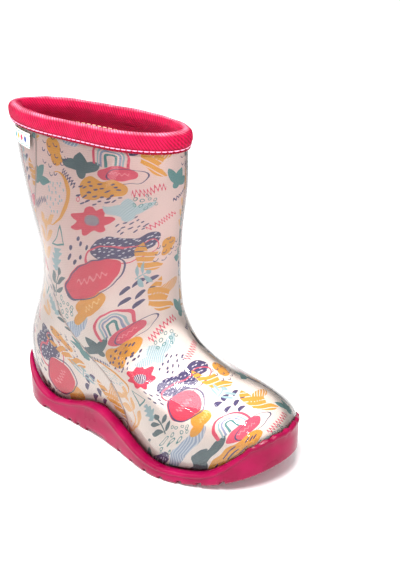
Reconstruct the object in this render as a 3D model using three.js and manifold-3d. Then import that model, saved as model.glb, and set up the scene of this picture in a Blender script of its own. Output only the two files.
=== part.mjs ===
// A child's pull-on rain boot for the right foot: clear moulded shell over a printed sock, moulded sole, fleece
// lining, bound collar and loose footbed. Millimetres, +Z up, toe towards -Y, outer side of the foot towards -X.
import * as THREE from 'three';
import { mergeVertices } from 'three/addons/utils/BufferGeometryUtils.js';
import Module from 'manifold-3d';

const wasm = await Module();
wasm.setup();

// ---------------------------------------------------------------- driving dimensions
const SOLE_LENGTH = 189;
const SOLE_WIDTH = 81;
const SHAFT_HEIGHT = 197; // from the seat of the upper on the sole to the front of the collar
const TOE_SPRING = 17;

const CLEARANCE = 0.3; // between neighbours that touch on the real boot
const SHELL_WALL = 1.8;
const SOCK_WALL = 0.8;
const LINING_WALL = 2.0;
const COUNTER_WALL = 1.0;

const SOLE_FLOOR = 7.7;
const WELT_LIP = 0.9; // how far the lip along the top of the sole wall stands out
const WELT_DEPTH = 3.15; // height of the whole lip, with the slope below it
const WELT_SLOPE = 0.8; // height of that slope
const SOLE_EDGE_BEVEL = 2.0;
const GROOVE_DEPTH = 3.0;
const GROOVE_WIDTH = 3.0;
const ARCH_DEPTH = 3.2;

const SOCK_SOLE_WALL = 1.0;
const FOAM_WALL = 4.0;
const COVER_WALL = 0.8;
const FOOTBED_SIDE_CLEARANCE = 1.2;

const SEAM_WIDTH = 1.2;
const THREAD_RADIUS = 0.35;
const BINDING_WALL = 1.2;
const BINDING_SWELL = 1.0; // how far the roll of the binding stands out beyond its own wall
const ROLL_CORNER = 0.7; // height of the roll's shoulders, as a share of its top
const LABEL_WALL = 0.5;

// ---------------------------------------------------------------- the last
// One loop a row, from the seat on the sole to the collar: level, back y and rise, front y and rise, half widths at
// heel, waist (outer, inner), ball (outer, inner) and toe (outer, inner), end radii back and front, and the
// sideways shift of the back and front points. The sizes are those of the reference last below.
const REFERENCE = { length: 189, width: 81, height: 197 };
const LAST_LOOPS = [
  [0.00, -5, 0, -184, 17, 24, 27, 22, 39, 34, 32, 30, 28, 31, 0, 3],
  [0.09, -1, 19, -187, 29, 26, 29, 25, 39, 33, 32, 30, 30, 29, 0, 3],
  [0.18, -0.5, 36, -177, 40.5, 27, 30, 27, 35, 28, 27, 22, 31, 29, 0, 2],
  [0.26, -3.5, 50, -150, 48.5, 27, 30, 28, 30, 23, 21, 15, 32, 31, 0, 1],
  [0.34, -7.5, 63, -127, 59, 27, 30, 28, 27, 23, 21, 16, 33, 34, 0, 0],
  [0.43, -10.5, 78, -113, 75, 27, 30, 28, 27, 25, 22, 20, 36, 36, 0, 0],
  [0.54, -10.5, 98, -108.5, 98, 27, 30, 28, 28, 26, 25, 23, 38, 38, 0, 0],
  [0.68, -2, 126, -110, 131, 26, 28, 27, 27, 26, 24, 23, 42, 42, 0, 0],
  [0.84, 6, 157, -114, 165, 22, 23, 22, 23, 22, 22, 21, 46, 46, -1, 1],
  [1.00, 9.5, 183, -113.5, 197, 16, 16, 16, 17, 16, 17, 16, 48, 48, -3, 3],
];
const LAST_STATIONS = [0, 0.15, 0.42, 0.68, 0.87, 1];
const FLAT_LEVELS_END = 0.34; // below this level the loops still follow the curved seat

// Outline of the sole: share of the length from the heel, half width outside and inside.
const SOLE_OUTLINE = [
  [0.00, 26.5, 26.5],
  [0.15, 27.5, 27.5],
  [0.42, 33, 28.5],
  [0.66, 43, 38],
  [0.86, 35, 33],
  [1.00, 32, 31],
];
const HEEL_ROUND = 27;
const TOE_ROUND = 37;
const TOE_SWING = 3; // sideways shift of the toe towards the inner side
const SPRING_START = 0.66; // share of the length where the toe begins to lift off the ground
const SPRING_CURVE = 2.2; // power of the lift's curve

// Height of the sole wall round one side, by turn: 0 at the back of the heel, 0.5 at the tip of the toe.
const WALL_HEIGHTS = [
  [0, 28], [0.06, 26], [0.11, 15], [0.135, 12], [0.165, 15.5], [0.2, 22], [0.215, 22.5], [0.245, 16.5],
  [0.28, 11], [0.325, 9.2], [0.37, 10], [0.4, 16], [0.425, 21.5], [0.45, 22.5], [0.5, 21.5],
];

// Seam of the sock between back and front panel, by level.
const SEAM_TURNS = [
  [0, 0.25], [0.17, 0.23], [0.34, 0.192], [0.45, 0.152], [0.575, 0.095], [0.645, 0.108], [0.8, 0.147], [1, 0.152],
];

// Crosswise tread grooves: distance from the back of the heel, and width.
const TREAD_GROOVES = [
  [27, 6], [47, GROOVE_WIDTH], [54, GROOVE_WIDTH], [92, GROOVE_WIDTH], [104, GROOVE_WIDTH], [116, GROOVE_WIDTH],
  [128, GROOVE_WIDTH], [140, GROOVE_WIDTH], [152, GROOVE_WIDTH], [165, GROOVE_WIDTH],
];
const ARCH_START = 61;
const ARCH_END = 80;
const ARCH_SLOPE = 3; // run of the arch's front slope, either side of its end

// ---------------------------------------------------------------- sizes that follow
const lengthScale = SOLE_LENGTH / REFERENCE.length;
const widthScale = SOLE_WIDTH / REFERENCE.width;
const heightScale = SHAFT_HEIGHT / REFERENCE.height;
const seatHeight = SOLE_FLOOR + CLEARANCE;

const sockDepth = SHELL_WALL + CLEARANCE;
const sockInnerDepth = sockDepth + SOCK_WALL;
const counterDepth = sockInnerDepth + CLEARANCE;
const liningDepth = sockInnerDepth + CLEARANCE;
const counterRoom = COUNTER_WALL + CLEARANCE;
const bindingInnerDepth = liningDepth + LINING_WALL + CLEARANCE;

const sockLift = SHELL_WALL + CLEARANCE;
const sockSoleTop = sockLift + SOCK_SOLE_WALL;
const strobelLift = sockSoleTop + CLEARANCE + THREAD_RADIUS;
const liningLift = strobelLift + THREAD_RADIUS + CLEARANCE;
const foamLift = sockSoleTop + CLEARANCE;
const coverLift = foamLift + FOAM_WALL + CLEARANCE;

// ---------------------------------------------------------------- grid shared by every layer
const COLUMNS = 36;
const LIP_LEVEL = 0.94;
const INNER_HEM_LEVEL = 0.925;
const ROW_LEVELS = [0, 0.045, 0.09, 0.15, 0.21, 0.27, 0.34, 0.43, 0.52, 0.62, 0.74, 0.86, INNER_HEM_LEVEL, LIP_LEVEL, 1];
const TOP_ROW = ROW_LEVELS.length - 1;
const COUNTER_LEVELS = [0.05, 0.215];
const COUNTER_TURN = 0.21;
const COUNTER_ROOM_TURNS = [0.225, 0.3]; // where the lining comes back to the sock, past the counter
const COUNTER_ROOM_LEVELS = [0.275, 0.42];
const LABEL_LEVELS = [0.885, LIP_LEVEL - 0.002];
const LABEL_TURNS = [0.075, 0.145];

// ---------------------------------------------------------------- curves
/** A smooth curve through points (keys[i], values[i]), with slopes averaged from its two neighbours. */
function curveThrough(keys, values, x) {
  const last = keys.length - 1;
  const slope = (i) => (values[i + 1] - values[i]) / (keys[i + 1] - keys[i]);
  const tangent = (i) => {
    if (i === 0) return slope(0);
    if (i === last) return slope(last - 1);
    const before = keys[i] - keys[i - 1];
    const after = keys[i + 1] - keys[i];
    return (slope(i - 1) * after + slope(i) * before) / (before + after);
  };
  let i = 0;
  while (i < last - 1 && x >= keys[i + 1]) i += 1;
  const step = keys[i + 1] - keys[i];
  const t = (x - keys[i]) / step;
  const tt = t * t;
  const ttt = tt * t;
  return (2 * ttt - 3 * tt + 1) * values[i] + (ttt - 2 * tt + t) * step * tangent(i)
    + (3 * tt - 2 * ttt) * values[i + 1] + (ttt - tt) * step * tangent(i + 1);
}

const column = (table, index) => table.map((row) => row[index]);
const curveOf = (table, index, x) => curveThrough(column(table, 0), column(table, index), x);
const clamp01 = (x) => Math.min(1, Math.max(0, x));
const smooth = (from, to, x) => THREE.MathUtils.smoothstep(x, from, to);

/** Share of the full width at a distance from a round end of the given radius. */
function roundEnd(distance, radius) {
  const inward = 1 - clamp01(distance / radius);
  return Math.sqrt(1 - inward * inward);
}

const shareAlong = (turn) => (1 - Math.cos(2 * Math.PI * turn)) / 2;
const isOuterSide = (turn) => Math.sin(2 * Math.PI * turn) >= 0;
const springShare = (share) => Math.pow(clamp01((share - SPRING_START) / (1 - SPRING_START)), SPRING_CURVE);
const sideTurn = (turn) => {
  const wrapped = ((turn % 1) + 1) % 1;
  return wrapped <= 0.5 ? wrapped : 1 - wrapped;
};

// ---------------------------------------------------------------- surface of the last
/** Point of the shell's outer surface: turn 0 to 1 round the leg from the back by the outer side, level 0 to 1. */
function lastPoint(turn, level) {
  const at = (index) => curveOf(LAST_LOOPS, index, level);
  const share = shareAlong(turn);
  const backY = at(1) * lengthScale;
  const frontY = at(3) * lengthScale;
  const backRise = at(2) * heightScale;
  const frontRise = at(4) * heightScale;
  const outer = [at(5), at(5), at(6), at(8), at(10), at(10)];
  const inner = [at(5), at(5), at(7), at(9), at(11), at(11)];
  const halfWidth = curveThrough(LAST_STATIONS, isOuterSide(turn) ? outer : inner, share) * widthScale;
  const loopLength = Math.hypot(frontY - backY, frontRise - backRise);
  const ends = roundEnd(share * loopLength, at(12) * widthScale)
    * roundEnd((1 - share) * loopLength, at(13) * widthScale);
  const shift = at(14) + (at(15) - at(14)) * share;
  const seatRise = TOE_SPRING * springShare(share);
  const slantRise = backRise + (frontRise - backRise) * share;
  const curvedRise = backRise + (frontRise - backRise) * springShare(share);
  const straightness = smooth(0, FLAT_LEVELS_END, level);
  const lowRise = level === 0 ? seatRise : curvedRise;
  return new THREE.Vector3(
    (isOuterSide(turn) ? -halfWidth : halfWidth) * ends + shift * widthScale,
    backY + (frontY - backY) * share,
    seatHeight + lowRise * (1 - straightness) + slantRise * straightness,
  );
}

const TURN_STEP = 1e-4;
function directionUp(turn, level) {
  const low = lastPoint(turn, Math.max(0, level - TURN_STEP));
  const high = lastPoint(turn, Math.min(1, level + TURN_STEP));
  return high.sub(low).normalize();
}

/** Outward normal of the last; at the seat it lies flat, so that the layers stand square on it. */
function outward(turn, level) {
  const around = lastPoint(turn + TURN_STEP, level).sub(lastPoint(turn - TURN_STEP, level));
  if (level === 0) return new THREE.Vector3(-around.y, around.x, 0).normalize().negate();
  return directionUp(turn, level).cross(around).normalize().negate();
}

/** Point at a depth inside the last's surface; lift raises the seat row, for what lies on the floor inside. */
function layerPoint(turn, level, depth, lift = 0) {
  const point = lastPoint(turn, level).addScaledVector(outward(turn, level), -depth);
  if (level === 0) point.z += lift;
  return point;
}

/** Point above the rim, in line with the leg. */
const rimPoint = (turn, height, depth) => layerPoint(turn, 1, depth).addScaledVector(directionUp(turn, 1), height);

const columnTurn = (index) => index / COLUMNS;
const ringOf = (pointAt, count = COLUMNS) => Array.from({ length: count }, (_, i) => pointAt(i / count, i));

// ---------------------------------------------------------------- solids
/** Closed geometry from points and triangles, with its faces turned outward. */
function solid(points, triangles) {
  let volume = 0;
  for (const [a, b, c] of triangles) {
    volume += points[a].dot(new THREE.Vector3().crossVectors(points[b], points[c]));
  }
  const ordered = volume > 0 ? triangles : triangles.map(([a, b, c]) => [a, c, b]);
  const geometry = new THREE.BufferGeometry();
  geometry.setAttribute('position', new THREE.Float32BufferAttribute(points.flatMap((p) => p.toArray()), 3));
  geometry.setIndex(ordered.flat());
  return geometry;
}

/**
 * Triangles between two neighbouring rings of a list. Every diagonal runs from a point of the upper ring to the
 * next point of the lower one, so that the facets of nested layers lie parallel.
 */
function bandTriangles(rings, a, b) {
  const count = rings[a].length;
  const rising = rings[b][0].z > rings[a][0].z;
  const triangles = [];
  for (let i = 0; i < count; i += 1) {
    const here = [a * count + i, b * count + i];
    const next = [a * count + ((i + 1) % count), b * count + ((i + 1) % count)];
    if (rising) triangles.push([here[0], next[0], here[1]], [next[0], next[1], here[1]]);
    else triangles.push([here[0], next[0], next[1]], [here[0], next[1], here[1]]);
  }
  return triangles;
}

/** Level strips across a ring, from each point to its mirror on the other side. */
function capTriangles(start, count, flipped) {
  const triangles = [];
  const half = count / 2;
  for (let i = 0; i < half; i += 1) {
    const a = start + i;
    const b = start + i + 1;
    const c = start + ((count - i - 1) % count);
    const d = start + ((count - i) % count);
    if (b !== c) triangles.push([a, b, c]);
    if (d !== a) triangles.push([a, c, d]);
  }
  return flipped ? triangles.map(([a, b, c]) => [a, c, b]) : triangles;
}

/** A solid of stacked rings: capped at both ends, or joined from the last ring back to the first. */
function ringStack(rings, capped) {
  const count = rings[0].length;
  const triangles = [];
  const last = rings.length - 1;
  for (let r = 0; r < last; r += 1) triangles.push(...bandTriangles(rings, r, r + 1));
  if (capped) {
    triangles.push(...capTriangles(0, count, true));
    triangles.push(...capTriangles(last * count, count, false));
  } else {
    triangles.push(...bandTriangles(rings, last, 0));
  }
  return solid(rings.flat(), triangles);
}

/** A boot-shaped skin between two depths. A closed skin has a floor as thick as its wall; an open one has none. */
function skin({ outerDepth, innerDepth, outerLift, innerLift, closed }) {
  const rings = [];
  for (let row = TOP_ROW; row >= 0; row -= 1) {
    rings.push(ringOf((turn) => layerPoint(turn, ROW_LEVELS[row], outerDepth(turn, ROW_LEVELS[row]), outerLift)));
  }
  const turnBack = rings.length;
  for (let row = 0; row <= TOP_ROW; row += 1) {
    rings.push(ringOf((turn) => layerPoint(turn, ROW_LEVELS[row], innerDepth(turn, ROW_LEVELS[row]), innerLift)));
  }
  if (!closed) return ringStack(rings, false);
  const triangles = [];
  for (let r = 0; r < rings.length; r += 1) {
    const next = (r + 1) % rings.length;
    if (r !== turnBack - 1) triangles.push(...bandTriangles(rings, r, next));
  }
  triangles.push(...capTriangles((turnBack - 1) * COLUMNS, COLUMNS, false));
  triangles.push(...capTriangles(turnBack * COLUMNS, COLUMNS, true));
  return solid(rings.flat(), triangles);
}

/** A flat piece on the floor of the boot, between two lifts. */
function plate(depthAt, bottomLift, topLift) {
  const ring = (lift) => ringOf((turn) => layerPoint(turn, 0, depthAt(turn), lift));
  return ringStack([ring(bottomLift), ring(topLift)], true);
}

/** A closed slab from a grid of near points and a grid of far points. */
function slab(near, far) {
  const rows = near.length;
  const across = near[0].length;
  const points = [...near.flat(), ...far.flat()];
  const index = (side, r, c) => side * rows * across + r * across + c;
  const triangles = [];
  const quad = (a, b, c, d) => triangles.push([a, b, c], [a, c, d]);
  for (let r = 0; r < rows - 1; r += 1) {
    for (let c = 0; c < across - 1; c += 1) {
      quad(index(0, r, c + 1), index(0, r + 1, c + 1), index(0, r + 1, c), index(0, r, c));
      quad(index(1, r + 1, c), index(1, r + 1, c + 1), index(1, r, c + 1), index(1, r, c));
    }
    quad(index(0, r, 0), index(0, r + 1, 0), index(1, r + 1, 0), index(1, r, 0));
    quad(index(1, r, across - 1), index(1, r + 1, across - 1), index(0, r + 1, across - 1), index(0, r, across - 1));
  }
  for (let c = 0; c < across - 1; c += 1) {
    quad(index(0, 0, c + 1), index(0, 0, c), index(1, 0, c), index(1, 0, c + 1));
    quad(index(0, rows - 1, c), index(0, rows - 1, c + 1), index(1, rows - 1, c + 1), index(1, rows - 1, c));
  }
  return solid(points, triangles);
}

/** Position on the flat facets of the shared grid, at a depth. */
function facetPoint(turn, level, depth) {
  let row = 0;
  while (row < TOP_ROW - 1 && level >= ROW_LEVELS[row + 1]) row += 1;
  const rowShare = (level - ROW_LEVELS[row]) / (ROW_LEVELS[row + 1] - ROW_LEVELS[row]);
  const first = Math.floor(turn * COLUMNS + 1e-9);
  const columnShare = turn * COLUMNS - first;
  const corner = (r, c) => layerPoint(columnTurn(c), ROW_LEVELS[r], depth);
  const low = corner(row, first).lerp(corner(row, first + 1), columnShare);
  const high = corner(row + 1, first).lerp(corner(row + 1, first + 1), columnShare);
  return low.lerp(high, rowShare);
}

/** A thin patch that lies along the grid's facets, between two turns, two levels and two depths. */
function patch(turns, levels, depths) {
  const gridTurns = Array.from({ length: 2 * COLUMNS + 1 }, (_, i) => columnTurn(i - COLUMNS));
  const between = (list, [from, to]) => [from, ...list.filter((x) => x > from + 1e-6 && x < to - 1e-6), to];
  const face = (depth) => between(ROW_LEVELS, levels)
    .map((level) => between(gridTurns, turns).map((turn) => facetPoint(turn, level, depth)));
  return slab(face(depths[0]), face(depths[1]));
}

/** A round thread laid as a closed ring through the given centres. */
function threadRing(centreAt, sideAt) {
  const SIDES = 6;
  const rings = Array.from({ length: SIDES }, (_, s) => ringOf((turn) => {
    const angle = (2 * Math.PI * s) / SIDES;
    const side = sideAt(turn);
    const around = centreAt(turn + 0.002).sub(centreAt(turn - 0.002));
    const up = around.cross(side).normalize();
    return centreAt(turn)
      .addScaledVector(side, THREAD_RADIUS * Math.cos(angle))
      .addScaledVector(up, THREAD_RADIUS * Math.sin(angle));
  }));
  return ringStack(rings, false);
}

// ---------------------------------------------------------------- booleans
function toManifold(geometry) {
  const bare = geometry.clone();
  bare.deleteAttribute('normal');
  bare.deleteAttribute('uv');
  const merged = mergeVertices(bare, 1e-5);
  return new wasm.Manifold(new wasm.Mesh({
    numProp: 3,
    vertProperties: merged.attributes.position.array,
    triVerts: new Uint32Array(merged.index.array),
  }));
}

function toGeometry(manifold) {
  const mesh = manifold.getMesh();
  const geometry = new THREE.BufferGeometry();
  geometry.setAttribute('position', new THREE.BufferAttribute(new Float32Array(mesh.vertProperties), 3));
  geometry.setIndex(new THREE.BufferAttribute(new Uint32Array(mesh.triVerts), 1));
  return geometry;
}

// ---------------------------------------------------------------- the sole
function soleOutline(turn) {
  const share = shareAlong(turn);
  const halfWidth = curveOf(SOLE_OUTLINE, isOuterSide(turn) ? 1 : 2, share) * widthScale;
  const ends = roundEnd(share * SOLE_LENGTH, HEEL_ROUND * widthScale)
    * roundEnd((1 - share) * SOLE_LENGTH, TOE_ROUND * widthScale);
  return new THREE.Vector3(
    (isOuterSide(turn) ? -halfWidth : halfWidth) * ends + TOE_SWING * widthScale * share ** 3,
    -share * SOLE_LENGTH,
    TOE_SPRING * springShare(share),
  );
}

function solePoint(turn, outset, height) {
  const around = soleOutline(turn + TURN_STEP).sub(soleOutline(turn - TURN_STEP));
  const out = new THREE.Vector3(around.y, -around.x, 0).normalize();
  const point = soleOutline(turn).addScaledVector(out, outset);
  point.z += height;
  return point;
}

/** A bar across the sole with the given outline in distance from the heel and height. */
function crosswiseBar(outline) {
  const shape = new THREE.Shape(outline.map(([distance, height]) => new THREE.Vector2(-distance, height)));
  const length = 2 * SOLE_WIDTH;
  const bar = new THREE.ExtrudeGeometry(shape, { depth: length, bevelEnabled: false });
  bar.translate(0, 0, -length / 2);
  bar.applyMatrix4(new THREE.Matrix4().makeBasis(
    new THREE.Vector3(0, 1, 0),
    new THREE.Vector3(0, 0, 1),
    new THREE.Vector3(1, 0, 0),
  ));
  return toManifold(bar);
}

function outsole() {
  const wallHeight = (turn) => curveOf(WALL_HEIGHTS, 1, sideTurn(turn));
  const wallProfile = [
    { outset: -SOLE_EDGE_BEVEL, height: () => 0 },
    { outset: 0, height: () => SOLE_EDGE_BEVEL },
    { outset: 0, height: (wall) => wall - WELT_DEPTH },
    { outset: WELT_LIP, height: (wall) => wall - WELT_DEPTH + WELT_SLOPE },
    { outset: WELT_LIP, height: (wall) => wall - WELT_LIP },
    { outset: 0, height: (wall) => wall },
  ];
  const wallRing = ({ outset, height }) => ringOf((turn) => solePoint(turn, outset, height(wallHeight(turn))));
  const rings = wallProfile.map(wallRing);
  const seatRows = ROW_LEVELS.filter((level) => level <= FLAT_LEVELS_END);
  const seat = seatRows.map((level) => ringOf((turn) => layerPoint(turn, level, -CLEARANCE, -CLEARANCE)));
  let body = toManifold(ringStack(rings, true)).subtract(toManifold(ringStack(seat, true)));

  const below = -1; // the cutters start under the ground
  for (const [distance, width] of TREAD_GROOVES) {
    const middle = distance * lengthScale;
    const top = TOE_SPRING * springShare(distance / REFERENCE.length) + GROOVE_DEPTH;
    const half = width / 2;
    body = body.subtract(crosswiseBar([
      [middle - half, below], [middle + half, below], [middle + half, top], [middle - half, top],
    ]));
  }
  const archStart = ARCH_START * lengthScale;
  const archEnd = ARCH_END * lengthScale;
  return toGeometry(body.subtract(crosswiseBar([
    [archStart, below], [archEnd + ARCH_SLOPE, below], [archEnd - ARCH_SLOPE, ARCH_DEPTH], [archStart, ARCH_DEPTH],
  ])));
}

// ---------------------------------------------------------------- the upper and what is inside it
const steady = (depth) => () => depth;

/** Extra depth that the lining keeps over the heel counter. */
function roomForCounter(turn, level) {
  const nearBack = 1 - smooth(...COUNTER_ROOM_TURNS, sideTurn(turn));
  const nearSole = 1 - smooth(...COUNTER_ROOM_LEVELS, level);
  return counterRoom * nearBack * nearSole;
}

const upperShell = () => skin({
  outerDepth: steady(0),
  innerDepth: steady(SHELL_WALL),
  outerLift: 0,
  innerLift: SHELL_WALL,
  closed: true,
});

const wholeSock = () => skin({
  outerDepth: steady(sockDepth),
  innerDepth: steady(sockInnerDepth),
  outerLift: sockLift,
  innerLift: sockLift,
  closed: false,
});

const fleeceLining = () => skin({
  outerDepth: (turn, level) => liningDepth + roomForCounter(turn, level),
  innerDepth: (turn, level) => liningDepth + LINING_WALL + roomForCounter(turn, level),
  outerLift: liningLift,
  innerLift: liningLift,
  closed: false,
});

const heelCounter = () => patch(
  [-COUNTER_TURN, COUNTER_TURN],
  COUNTER_LEVELS,
  [counterDepth, counterDepth + COUNTER_WALL],
);

/** Turn of a seam of the sock at a level, moved towards the front by a distance. Side is 1 outside, -1 inside. */
function seamTurn(side, level, forward) {
  const turn = curveOf(SEAM_TURNS, 1, level);
  const perTurn = lastPoint(side * (turn + 0.005), level).distanceTo(lastPoint(side * (turn - 0.005), level)) / 0.01;
  return side * (turn + forward / perTurn);
}

/** A block that reaches through the sock's wall between two turns that change with the level. */
function throughSock(fromAt, toAt, across) {
  const STEPS = 28;
  const REACH = 6; // past the collar
  const OVERCUT = 1.2; // past both faces of the wall
  const face = (depth) => {
    const rows = Array.from({ length: STEPS + 1 }, (_, r) => {
      const level = r / STEPS;
      const from = fromAt(level);
      const to = toAt(level);
      return Array.from({ length: across + 1 }, (_, c) => (
        layerPoint(from + ((to - from) * c) / across, level, depth)));
    });
    const top = rows[STEPS].map((point) => point.clone().add(new THREE.Vector3(0, 0, REACH)));
    return [...rows, top];
  };
  return toManifold(slab(face(sockDepth - OVERCUT), face(sockInnerDepth + OVERCUT)));
}

function sockPieces() {
  const sock = toManifold(wholeSock());
  const panelEdge = SEAM_WIDTH / 2 + CLEARANCE;
  const REGION_STRIPS = 24;
  const region = (forward) => throughSock(
    (level) => seamTurn(-1, level, forward),
    (level) => seamTurn(1, level, forward),
    REGION_STRIPS,
  );
  const ribbon = (side) => throughSock(
    (level) => seamTurn(side, level, -SEAM_WIDTH / 2),
    (level) => seamTurn(side, level, SEAM_WIDTH / 2),
    1,
  );
  return {
    sock_back_panel: toGeometry(sock.intersect(region(-panelEdge))),
    sock_front_panel: toGeometry(sock.subtract(region(panelEdge))),
    seam_lateral: toGeometry(sock.intersect(ribbon(1))),
    seam_medial: toGeometry(sock.intersect(ribbon(-1))),
  };
}

const sockSole = () => plate(steady(sockInnerDepth + CLEARANCE), sockLift, sockSoleTop);

const footbedDepth = (turn) => liningDepth + LINING_WALL + roomForCounter(turn, 0) + FOOTBED_SIDE_CLEARANCE;
const footbedFoam = () => plate(footbedDepth, foamLift, foamLift + FOAM_WALL);
const footbedCover = () => plate(footbedDepth, coverLift, coverLift + COVER_WALL);

function strobelStitch() {
  const depth = sockInnerDepth + CLEARANCE + THREAD_RADIUS;
  return threadRing((turn) => layerPoint(turn, 0, depth, strobelLift), (turn) => outward(turn, 0));
}

// ---------------------------------------------------------------- the collar
const outerFace = -CLEARANCE - BINDING_WALL;
const innerFace = bindingInnerDepth + BINDING_WALL;
const OUTER_STITCH_LEVEL = 0.95;
const INNER_STITCH_LEVEL = 0.94;
const ROLL_LEVEL = 0.975;
const ROLL_FOOT_LEVEL = OUTER_STITCH_LEVEL + 0.008; // where the roll begins to swell, just above the stitches

/** Twill folded over the rim: a roll on top, a hem lip outside and a longer hem inside. */
function collarBinding() {
  const overRim = CLEARANCE;
  const top = overRim + BINDING_WALL + BINDING_SWELL;
  const section = [
    (turn) => layerPoint(turn, LIP_LEVEL, outerFace),
    (turn) => layerPoint(turn, ROLL_FOOT_LEVEL, outerFace),
    (turn) => layerPoint(turn, ROLL_LEVEL, outerFace - BINDING_SWELL),
    (turn) => layerPoint(turn, 1, outerFace - 0.8 * BINDING_SWELL),
    (turn) => rimPoint(turn, ROLL_CORNER * top, outerFace + 0.6 * BINDING_SWELL),
    (turn) => rimPoint(turn, top, (outerFace + innerFace) / 2),
    (turn) => rimPoint(turn, ROLL_CORNER * top, innerFace - 0.6 * BINDING_SWELL),
    (turn) => layerPoint(turn, 1, innerFace + 0.8 * BINDING_SWELL),
    (turn) => layerPoint(turn, ROLL_LEVEL, innerFace + BINDING_SWELL),
    (turn) => layerPoint(turn, INNER_HEM_LEVEL, innerFace),
    (turn) => layerPoint(turn, INNER_HEM_LEVEL, bindingInnerDepth),
    (turn) => layerPoint(turn, LIP_LEVEL, bindingInnerDepth),
    (turn) => layerPoint(turn, 1, bindingInnerDepth),
    (turn) => rimPoint(turn, overRim, bindingInnerDepth),
    (turn) => rimPoint(turn, overRim, -CLEARANCE),
    (turn) => layerPoint(turn, 1, -CLEARANCE),
    (turn) => layerPoint(turn, LIP_LEVEL, -CLEARANCE),
  ];
  return ringStack(section.map((pointAt) => ringOf(pointAt)), false);
}

const offFace = CLEARANCE + THREAD_RADIUS;
const outerStitch = () => threadRing(
  (turn) => layerPoint(turn, OUTER_STITCH_LEVEL, outerFace - offFace),
  (turn) => outward(turn, OUTER_STITCH_LEVEL),
);
const innerSwell = (BINDING_SWELL * (INNER_STITCH_LEVEL - INNER_HEM_LEVEL)) / (ROLL_LEVEL - INNER_HEM_LEVEL);
const innerStitch = () => threadRing(
  (turn) => layerPoint(turn, INNER_STITCH_LEVEL, innerFace + innerSwell + offFace),
  (turn) => outward(turn, INNER_STITCH_LEVEL),
);

const sideLabel = () => patch(LABEL_TURNS, LABEL_LEVELS, [-CLEARANCE - LABEL_WALL, -CLEARANCE]);

// ---------------------------------------------------------------- the boot
const clearShell = { color: 0xf3ebe8, roughness: 0.12, transparent: true, opacity: 0.35 };
const printedTextile = { color: 0xe9d9d2, roughness: 0.8 };
const magenta = { color: 0xb41950, roughness: 0.3 };
const fuchsia = { color: 0xe11950, roughness: 0.75 };
const palePink = { color: 0xf2b0b8, roughness: 0.6 };

const boot = new THREE.Group();

function addPiece(name, geometry, look) {
  const mesh = new THREE.Mesh(geometry, new THREE.MeshStandardMaterial({ metalness: 0, ...look }));
  mesh.name = name;
  boot.add(mesh);
}

addPiece('outsole', outsole(), magenta);
addPiece('upper_shell', upperShell(), clearShell);
for (const [name, geometry] of Object.entries(sockPieces())) {
  addPiece(name, geometry, name.startsWith('seam') ? palePink : printedTextile);
}
addPiece('sock_sole', sockSole(), { color: 0xe8e2da, roughness: 0.9 });
addPiece('strobel_stitch', strobelStitch(), palePink);
addPiece('heel_counter', heelCounter(), { color: 0xd8cdb8, roughness: 0.85 });
addPiece('fleece_lining', fleeceLining(), { color: 0xe60f3c, roughness: 0.95 });
addPiece('footbed_foam', footbedFoam(), { color: 0xf5d6dc, roughness: 0.9 });
addPiece('footbed_cover', footbedCover(), { color: 0xe02a5e, roughness: 0.95 });
addPiece('collar_binding', collarBinding(), fuchsia);
addPiece('binding_stitch_outer', outerStitch(), palePink);
addPiece('binding_stitch_inner', innerStitch(), palePink);
addPiece('side_label', sideLabel(), { color: 0xf4f4f0, roughness: 0.7 });

// The origin is on the ground, under the middle of the boot.
const extent = new THREE.Box3().setFromObject(boot);
const middle = extent.getCenter(new THREE.Vector3());
boot.position.set(-middle.x, -middle.y, -extent.min.z);

export default boot;
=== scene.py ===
"""A child's rain boot, clear PVC over a printed sock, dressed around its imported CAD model.

Shapes are worked out in millimetres by the CAD source's formulas, and go to metres in the mesh.
"""
import math

import bpy
import numpy as np
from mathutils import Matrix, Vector


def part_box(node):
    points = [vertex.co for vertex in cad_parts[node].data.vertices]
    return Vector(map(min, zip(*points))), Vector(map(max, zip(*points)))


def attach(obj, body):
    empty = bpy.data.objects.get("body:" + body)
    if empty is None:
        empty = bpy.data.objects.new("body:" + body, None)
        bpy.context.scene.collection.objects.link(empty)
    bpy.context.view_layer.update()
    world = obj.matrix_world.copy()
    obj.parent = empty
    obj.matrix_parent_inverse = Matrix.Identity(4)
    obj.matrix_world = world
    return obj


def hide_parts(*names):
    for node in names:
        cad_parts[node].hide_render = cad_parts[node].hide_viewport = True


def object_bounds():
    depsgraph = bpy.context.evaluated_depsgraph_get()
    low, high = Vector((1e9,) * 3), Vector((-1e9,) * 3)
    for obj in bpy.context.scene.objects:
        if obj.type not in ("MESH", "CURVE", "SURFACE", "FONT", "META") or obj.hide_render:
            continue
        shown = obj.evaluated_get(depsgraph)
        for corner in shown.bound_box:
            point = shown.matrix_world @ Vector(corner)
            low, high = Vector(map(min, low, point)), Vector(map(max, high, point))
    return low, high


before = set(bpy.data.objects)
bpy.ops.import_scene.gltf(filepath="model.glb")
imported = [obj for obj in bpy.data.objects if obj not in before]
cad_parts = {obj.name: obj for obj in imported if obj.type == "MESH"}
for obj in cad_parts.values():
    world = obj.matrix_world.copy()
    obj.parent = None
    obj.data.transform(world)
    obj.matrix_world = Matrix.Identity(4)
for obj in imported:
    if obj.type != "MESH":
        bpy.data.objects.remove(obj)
cad_low, cad_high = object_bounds()

MM = 0.001

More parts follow.
